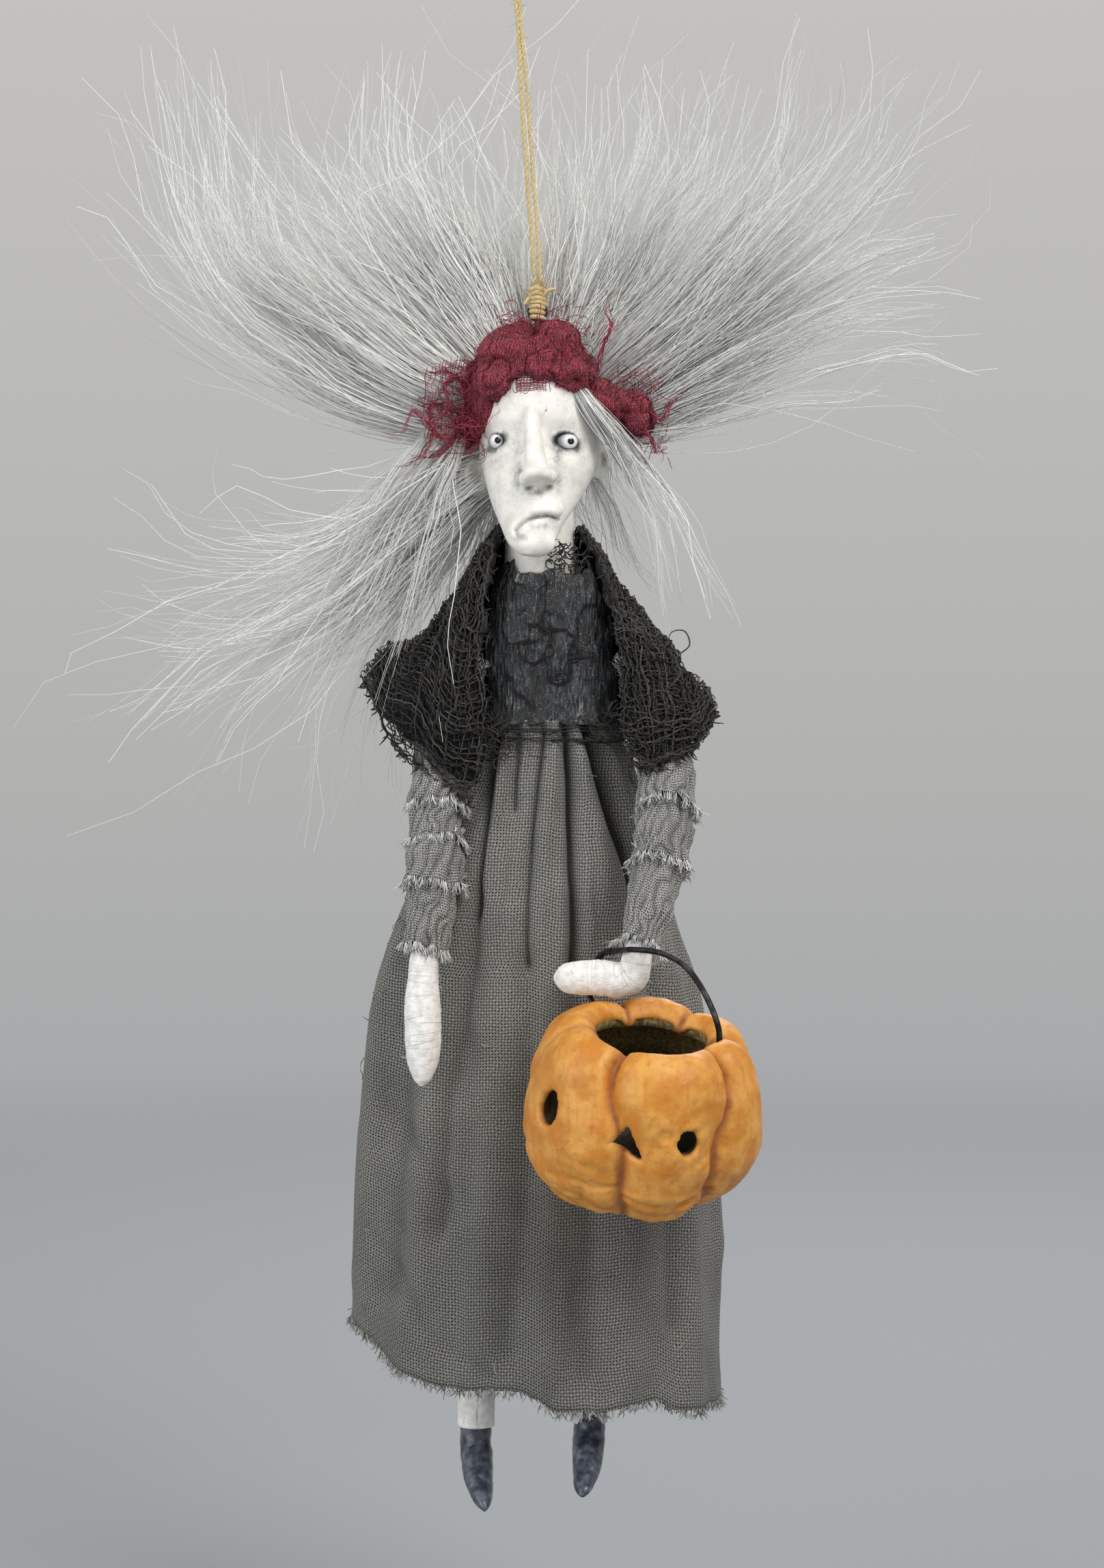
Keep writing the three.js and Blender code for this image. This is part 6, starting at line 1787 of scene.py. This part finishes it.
LANTERN_AT = np.array([24.1165, -35.2789, -226.3479])
PUMPKIN_HALF = 19.0
PUMPKIN_OUT = [
    (0.23, -0.82), (0.46, -0.87), (0.71, -0.79), (0.9, -0.52), (1, -0.08), (0.985, 0.34), (0.89, 0.7),
    (0.74, 0.905), (0.61, 0.955), (0.53, 0.885),
]
PUMPKIN_IN = [
    (0.495, 0.79), (0.53, 0.7), (0.65, 0.7), (0.78, 0.52), (0.866, 0.24), (0.866, -0.08), (0.78, -0.4),
    (0.57, -0.62), (0.26, -0.67),
]
# Grooves: degrees round from the front at the middle, and how much further round at the top and the bottom
GROOVES = ((-12, -17, 2), (37, 16, 12), (94, 0, 0), (147, 0, 0), (202, 0, 0), (264, 4, 0))
BAIL = [
    (16.75, -30.65, -209.1), (14.421, -29.191, -203.681), (14.916, -24.879, -200.148),
    (16.916, -26.879, -196.848),
    (19.516, -32.079, -195.948), (22.916, -36.679, -195.448), (28.116, -38.679, -196.148),
    (32.516, -40.079, -198.948), (37.784, -43.638, -209.574), (36.864, -40.078, -217.569),
]


def lantern_turn():
    """The lantern's lean, as a matrix for points in rows."""
    lean = Matrix.Rotation(math.radians(24), 3, "X") @ Matrix.Rotation(math.radians(6), 3, "Y")
    return np.array(lean)


def groove_share(angle, height):
    """1 in the middle of a groove, falling to 0 beside it: the narrow line, then the soft hollow."""
    degrees = np.degrees(angle)
    top, bottom = smoothstep(0.1, 0.95, height), smoothstep(-0.1, -0.85, height)
    places = [at + up * top + down * bottom for at, up, down in GROOVES]
    near = np.min([np.abs((degrees - place + 180) % 360 - 180) for place in places], axis=0)
    return bell(near, 4.5), bell(near, 15)


def pumpkin_wall(points, inside):
    """Points of a plain round pumpkin, moved to its lobes, its tilted rim and its rising front."""
    around = np.arctan2(points[..., 0], -points[..., 1])
    height = points[..., 2] / PUMPKIN_HALF
    line, hollow = groove_share(around, height)
    full = line.copy()
    calm = (1 - 0.75 * inside) * (0.8 + 0.2 * np.cos(around))
    line, hollow = line * calm, hollow * calm
    low = smoothstep(-0.1, -0.8, height)
    deep = 1.3 * line + 1.5 * hollow - 0.35 + 1.1 * low * np.maximum(0, np.sin(around))
    reach = np.linalg.norm(points[..., :2], axis=-1)
    reach = reach - deep * np.minimum(1, reach / 13.0)
    rim = smoothstep(0.3, 0.9, height)
    level = points[..., 2] - rim * (0.9 * hollow + 1.7 * line) + rim * (0.7 + 1.7 * np.cos(around))
    level = level + 1.4 * (1 + np.cos(around - 0.3)) * smoothstep(-0.2, -0.8, height)
    return np.stack([reach * np.sin(around), -reach * np.cos(around), level], -1), full


def cutter(outline, angle, height):
    """A prism through the pumpkin's wall, from an outline in its x and z."""
    across, up = np.asarray(outline, float).T
    rings = [np.stack([across, 0 * across - reach, up + height], -1) for reach in (9, 27)]
    return turned(np.array(rings), math.radians(angle))


def make_lantern(settings):
    """The clay pumpkin with its cut eyes and nose, and the wire bail."""
    radius, half = 21.6, PUMPKIN_HALF
    angle = turns(240)
    walls = []
    for rows in (PUMPKIN_OUT, PUMPKIN_IN):
        flat = spline([(r, z, 0) for r, z in rows], 70)[:, :2] * (radius, half)
        level = np.repeat(flat[:, 1:], len(angle), 1)
        walls.append(np.stack([flat[:, :1] * np.sin(angle), -flat[:, :1] * np.cos(angle), level], -1))
    shell = Form().loft(np.concatenate(walls)).make("pumpkin_look")
    turn = turns(28)
    oval = np.stack([np.cos(turn), np.sin(turn)], -1)
    cuts = [
        cutter(oval * (2.7, 3.3), -57, 0.35 * half),
        cutter(oval * (2.3, 2.5), 19, 0.35 * half),
        cutter([(0.2, 3.7), (-3.4, -0.4), (4.1, -3.0)], -12, 0.29 * half),
    ]
    for hole_angle, share, height, slope in ((-142, 0.8, 0.83, 1), (86, 0.58, 0.9, 0)):
        way = math.radians(hole_angle)
        reach = np.array([math.sin(way), -math.cos(way), 0]) * radius * share
        out = unit(reach * slope + (0, 0, height * half))
        place = reach + (0, 0, height * half)
        cuts.append(tube([place + out * step for step in (3, 0, -4, -7)], 0.95, 16))
    knives = Form()
    for rings in cuts:
        knives.loft(rings)
    knife = knives.make("Pumpkin cutters")
    cut = shell.modifiers.new("Windows", "BOOLEAN")
    cut.object, cut.operation, cut.solver = knife, "DIFFERENCE", "EXACT"
    plain(shell)
    bpy.data.objects.remove(knife)
    remeshed(shell, 0.44, 3)
    mesh = shell.data
    points = coordinates(mesh)
    line = spline([(r, z, 0) for r, z in PUMPKIN_OUT], 60)[:, :2] * (radius, half)
    line = np.concatenate([[(0.0, line[0, 1])], line])
    depth = line_distance(np.stack([np.linalg.norm(points[:, :2], axis=1), points[:, 2]], -1), line)
    inside = smoothstep(0.7, 1.7, depth)
    cut_side = smoothstep(0.25, 1.0, depth) * (1 - smoothstep(2.4, 3.0, depth))
    cut_side = cut_side * (points[:, 2] < 0.66 * half)
    # Painted shade: marks the lower inside of the pumpkin for darkening in its finish.
    deep = smoothstep(0.34 * half, -0.15 * half, points[:, 2]) * inside
    points, groove = pumpkin_wall(points, inside)
    place_points(mesh, points)
    swell = 0.5 * lumps(points, 6, 1) + 0.2 * lumps(points, 2.4, 2) + 0.06 * lumps(points, 0.9, 3)
    planes = (1 - np.abs(lumps(points, 7.0, 12))) ** 3 * smoothstep(2, -8, points[:, 2])
    points = points + normals(mesh) * ((swell + 0.35 - 0.8 * planes) * (1 - inside))[:, None]
    front = points[:, 1] < -5
    for fold, depth, width in (
        ([(-17.5, -5.3), (-11.3, -4), (-5.4, -3.6)], 0.6, 0.7),
        ([(-3, -5.8), (1, -6.6), (8, -6.3), (12.5, -5)], 0.7, 0.7),
        ([(-14, 0.6), (-7, -0.4)], 0.3, 0.8), ([(3, 8.6), (10, 9.6)], 0.35, 1),
        ([(9, 3), (13.6, 4.4)], 0.3, 0.8),
        ([(-13, -8), (-7, -9.4)], 0.35, 0.9), ([(3, -10.6), (10, -9.6)], 0.4, 0.9),
    ):
        away = np.abs(line_distance(points[:, [0, 2]], fold) + 0.7 * lumps(points, 3.0, 8))
        depth = depth * np.clip(0.75 + 0.8 * lumps(points, 2.6, 9), 0, 1.5)
        points[:, 1] += (depth * bell(away, width) - 0.4 * depth * hill_line(away, width)) * front
    place_points(mesh, points @ lantern_turn().T + LANTERN_AT)
    paint_points(mesh, "groove", np.clip(groove, 0, 1) * (1 - inside))
    paint_points(mesh, "inside", inside)
    paint_points(mesh, "deep", deep)
    paint_points(mesh, "cut", 0.85 * cut_side)
    mesh.materials.append(pumpkin_finish("Pumpkin", tuple(settings.pumpkin_colour)))
    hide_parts("pumpkin")
    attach(shell, "lantern")
    line = spline(BAIL, 200)
    dull = plain_finish("Bail wire", (0.12, 0.12, 0.13), (0.27, 0.27, 0.28), 2.0, 0.42, Metallic=0.85)
    wire = Form().loft(tube(line, 0.55, 14)).make("lantern_bail_look", dull)
    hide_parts("lantern_bail")
    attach(wire, "bail")


# Parts that stay out of sight keep the frame's own shapes


def make_inside(settings):
    """Finishes for the wood, wire and legs that the frame itself shows."""
    wood = plain_finish("Wood", (0.55, 0.42, 0.27), (0.72, 0.58, 0.4), 6.0, 0.7)
    steel = plain_finish("Steel", (0.18, 0.18, 0.19), (0.3, 0.3, 0.31), 3.0, 0.45, Metallic=0.9)
    armature = plain_finish("Armature", (0.2, 0.2, 0.2), (0.34, 0.34, 0.33), 3.0, 0.85)
    leg = plain_finish("Leg", (0.8, 0.8, 0.79), (0.95, 0.95, 0.93), 3.0, 0.7)
    for names, finish in (
        (("torso_core", "neck_dowel"), wood),
        (("shoulder_wire", "hip_wire", "crown_eye"), steel),
        (("arm_core_left", "arm_core_right"), armature),
        (("leg_left", "leg_right"), leg),
    ):
        for name in names:
            mesh = bpy.data.objects[name].data
            mesh.materials.clear()
            mesh.materials.append(finish)


# Add-on: settings, one operator for each group of pieces, and a panel


def width_property(name, about, default):
    """A small size in millimetres."""
    return FloatProperty(name=name, description=f"{about}, in millimetres", default=default, min=0.03)


def light_property(name, about, default):
    """The power of a lamp."""
    return FloatProperty(
        name=name, description=about, default=default, min=0.0, subtype="POWER", unit="POWER"
    )


def colour_property(name, about, default):
    """A colour as it looks on screen."""
    return FloatVectorProperty(
        name=name, description=about, default=default, size=3, min=0.0, max=1.0, subtype="COLOR_GAMMA"
    )


class WitchDollSettings(bpy.types.PropertyGroup):
    """What can be changed before the pieces are made."""

    strands: IntProperty(
        name="Strands", description="Hair strands in a lock", default=1000, min=50, max=2900
    )
    strand_width: width_property("Strand width", "Thickness of a strand of hair", 0.2)
    twine_width: width_property("Twine width", "Thickness of the twine", 0.9)
    thread_pitch: width_property("Thread pitch", "Distance between the linen's threads", 0.6)
    net_thread: width_property("Net thread", "Thickness of the shawl's threads", 0.36)
    key_light: light_property("Key light", "Power of the light at the upper right", 7.5)
    fill_light: light_property("Fill light", "Power of the soft light from the left", 6.0)
    world_light: FloatProperty(
        name="Surround", description="Strength of the light from all round", default=0.75, min=0.0
    )
    hair_colour: colour_property("Hair", "Colour of the palest strands of hair", (1.0, 1.0, 0.99))
    scarf_colour: colour_property("Scarf", "Colour of the head scarf's threads", (0.66, 0.23, 0.3))
    linen_colour: colour_property("Linen", "Colour of the skirt's threads", (0.6, 0.595, 0.575))
    pumpkin_colour: colour_property("Pumpkin", "Palest colour of the pumpkin's paint", (0.91, 0.66, 0.31))
    boot_colour: colour_property("Boots", "Palest colour of the boots' paint", (0.4, 0.43, 0.48))


class WITCHDOLL_OT_stage(bpy.types.Operator):
    """Make the floor, lights and camera"""

    bl_idname = "witch_doll.stage"
    bl_label = "Stage"
    bl_options = {"REGISTER", "UNDO"}

    def execute(self, context):
        make_stage(context.scene.witch_doll)
        return {"FINISHED"}


class WITCHDOLL_OT_twine(bpy.types.Operator):
    """Make the twine and its knot"""

    bl_idname = "witch_doll.twine"
    bl_label = "Twine"
    bl_options = {"REGISTER", "UNDO"}

    def execute(self, context):
        make_twine(context.scene.witch_doll)
        return {"FINISHED"}


class WITCHDOLL_OT_head(bpy.types.Operator):
    """Make the head and eyes"""

    bl_idname = "witch_doll.head"
    bl_label = "Head"
    bl_options = {"REGISTER", "UNDO"}

    def execute(self, context):
        make_head(context.scene.witch_doll)
        return {"FINISHED"}


class WITCHDOLL_OT_hair(bpy.types.Operator):
    """Make the hair"""

    bl_idname = "witch_doll.hair"
    bl_label = "Hair"
    bl_options = {"REGISTER", "UNDO"}

    def execute(self, context):
        make_hair(context.scene.witch_doll)
        return {"FINISHED"}


class WITCHDOLL_OT_scarf(bpy.types.Operator):
    """Make the head scarf"""

    bl_idname = "witch_doll.scarf"
    bl_label = "Scarf"
    bl_options = {"REGISTER", "UNDO"}

    def execute(self, context):
        make_scarf(context.scene.witch_doll)
        return {"FINISHED"}


class WITCHDOLL_OT_bodice(bpy.types.Operator):
    """Make the bodice"""

    bl_idname = "witch_doll.bodice"
    bl_label = "Bodice"
    bl_options = {"REGISTER", "UNDO"}

    def execute(self, context):
        make_bodice(context.scene.witch_doll)
        return {"FINISHED"}


class WITCHDOLL_OT_shawl(bpy.types.Operator):
    """Make both halves of the shawl"""

    bl_idname = "witch_doll.shawl"
    bl_label = "Shawl"
    bl_options = {"REGISTER", "UNDO"}

    def execute(self, context):
        make_shawl(context.scene.witch_doll)
        return {"FINISHED"}


class WITCHDOLL_OT_skirt(bpy.types.Operator):
    """Make the skirt and its fringe"""

    bl_idname = "witch_doll.skirt"
    bl_label = "Skirt"
    bl_options = {"REGISTER", "UNDO"}

    def execute(self, context):
        make_skirt(context.scene.witch_doll)
        return {"FINISHED"}


class WITCHDOLL_OT_sleeves(bpy.types.Operator):
    """Make the strips wound round the arms"""

    bl_idname = "witch_doll.sleeves"
    bl_label = "Sleeves"
    bl_options = {"REGISTER", "UNDO"}

    def execute(self, context):
        make_sleeves(context.scene.witch_doll)
        return {"FINISHED"}


class WITCHDOLL_OT_hands(bpy.types.Operator):
    """Make the hands"""

    bl_idname = "witch_doll.hands"
    bl_label = "Hands"
    bl_options = {"REGISTER", "UNDO"}

    def execute(self, context):
        make_hands(context.scene.witch_doll)
        return {"FINISHED"}


class WITCHDOLL_OT_boots(bpy.types.Operator):
    """Make the boots"""

    bl_idname = "witch_doll.boots"
    bl_label = "Boots"
    bl_options = {"REGISTER", "UNDO"}

    def execute(self, context):
        make_boots(context.scene.witch_doll)
        return {"FINISHED"}


class WITCHDOLL_OT_lantern(bpy.types.Operator):
    """Make the pumpkin lantern and its bail"""

    bl_idname = "witch_doll.lantern"
    bl_label = "Lantern"
    bl_options = {"REGISTER", "UNDO"}

    def execute(self, context):
        make_lantern(context.scene.witch_doll)
        return {"FINISHED"}


class WITCHDOLL_OT_inside(bpy.types.Operator):
    """Finish the parts that stay out of sight"""

    bl_idname = "witch_doll.inside"
    bl_label = "Inside"
    bl_options = {"REGISTER", "UNDO"}

    def execute(self, context):
        make_inside(context.scene.witch_doll)
        return {"FINISHED"}


OPERATORS = [
    WITCHDOLL_OT_stage,
    WITCHDOLL_OT_twine,
    WITCHDOLL_OT_head,
    WITCHDOLL_OT_hair,
    WITCHDOLL_OT_scarf,
    WITCHDOLL_OT_bodice,
    WITCHDOLL_OT_shawl,
    WITCHDOLL_OT_skirt,
    WITCHDOLL_OT_sleeves,
    WITCHDOLL_OT_hands,
    WITCHDOLL_OT_boots,
    WITCHDOLL_OT_lantern,
    WITCHDOLL_OT_inside,
]


class WITCHDOLL_PT_panel(bpy.types.Panel):
    """Settings and pieces of the doll."""

    bl_label = "Witch Doll"
    bl_idname = "WITCHDOLL_PT_panel"
    bl_space_type = "VIEW_3D"
    bl_region_type = "UI"
    bl_category = "Witch Doll"

    def draw(self, context):
        for name in WitchDollSettings.__annotations__:
            self.layout.prop(context.scene.witch_doll, name)
        for piece in OPERATORS:
            self.layout.operator(piece.bl_idname)


def register():
    for item in (WitchDollSettings, *OPERATORS, WITCHDOLL_PT_panel):
        bpy.utils.register_class(item)
    bpy.types.Scene.witch_doll = PointerProperty(type=WitchDollSettings)


def unregister():
    del bpy.types.Scene.witch_doll
    for item in (WITCHDOLL_PT_panel, *reversed(OPERATORS), WitchDollSettings):
        bpy.utils.unregister_class(item)


def main():
    register()
    for piece in OPERATORS:
        group, key = piece.bl_idname.split(".")
        result = getattr(getattr(bpy.ops, group), key)()
        if result != {"FINISHED"}:
            raise RuntimeError(f"{piece.bl_idname} did not finish")


if __name__ == "__main__":
    main()
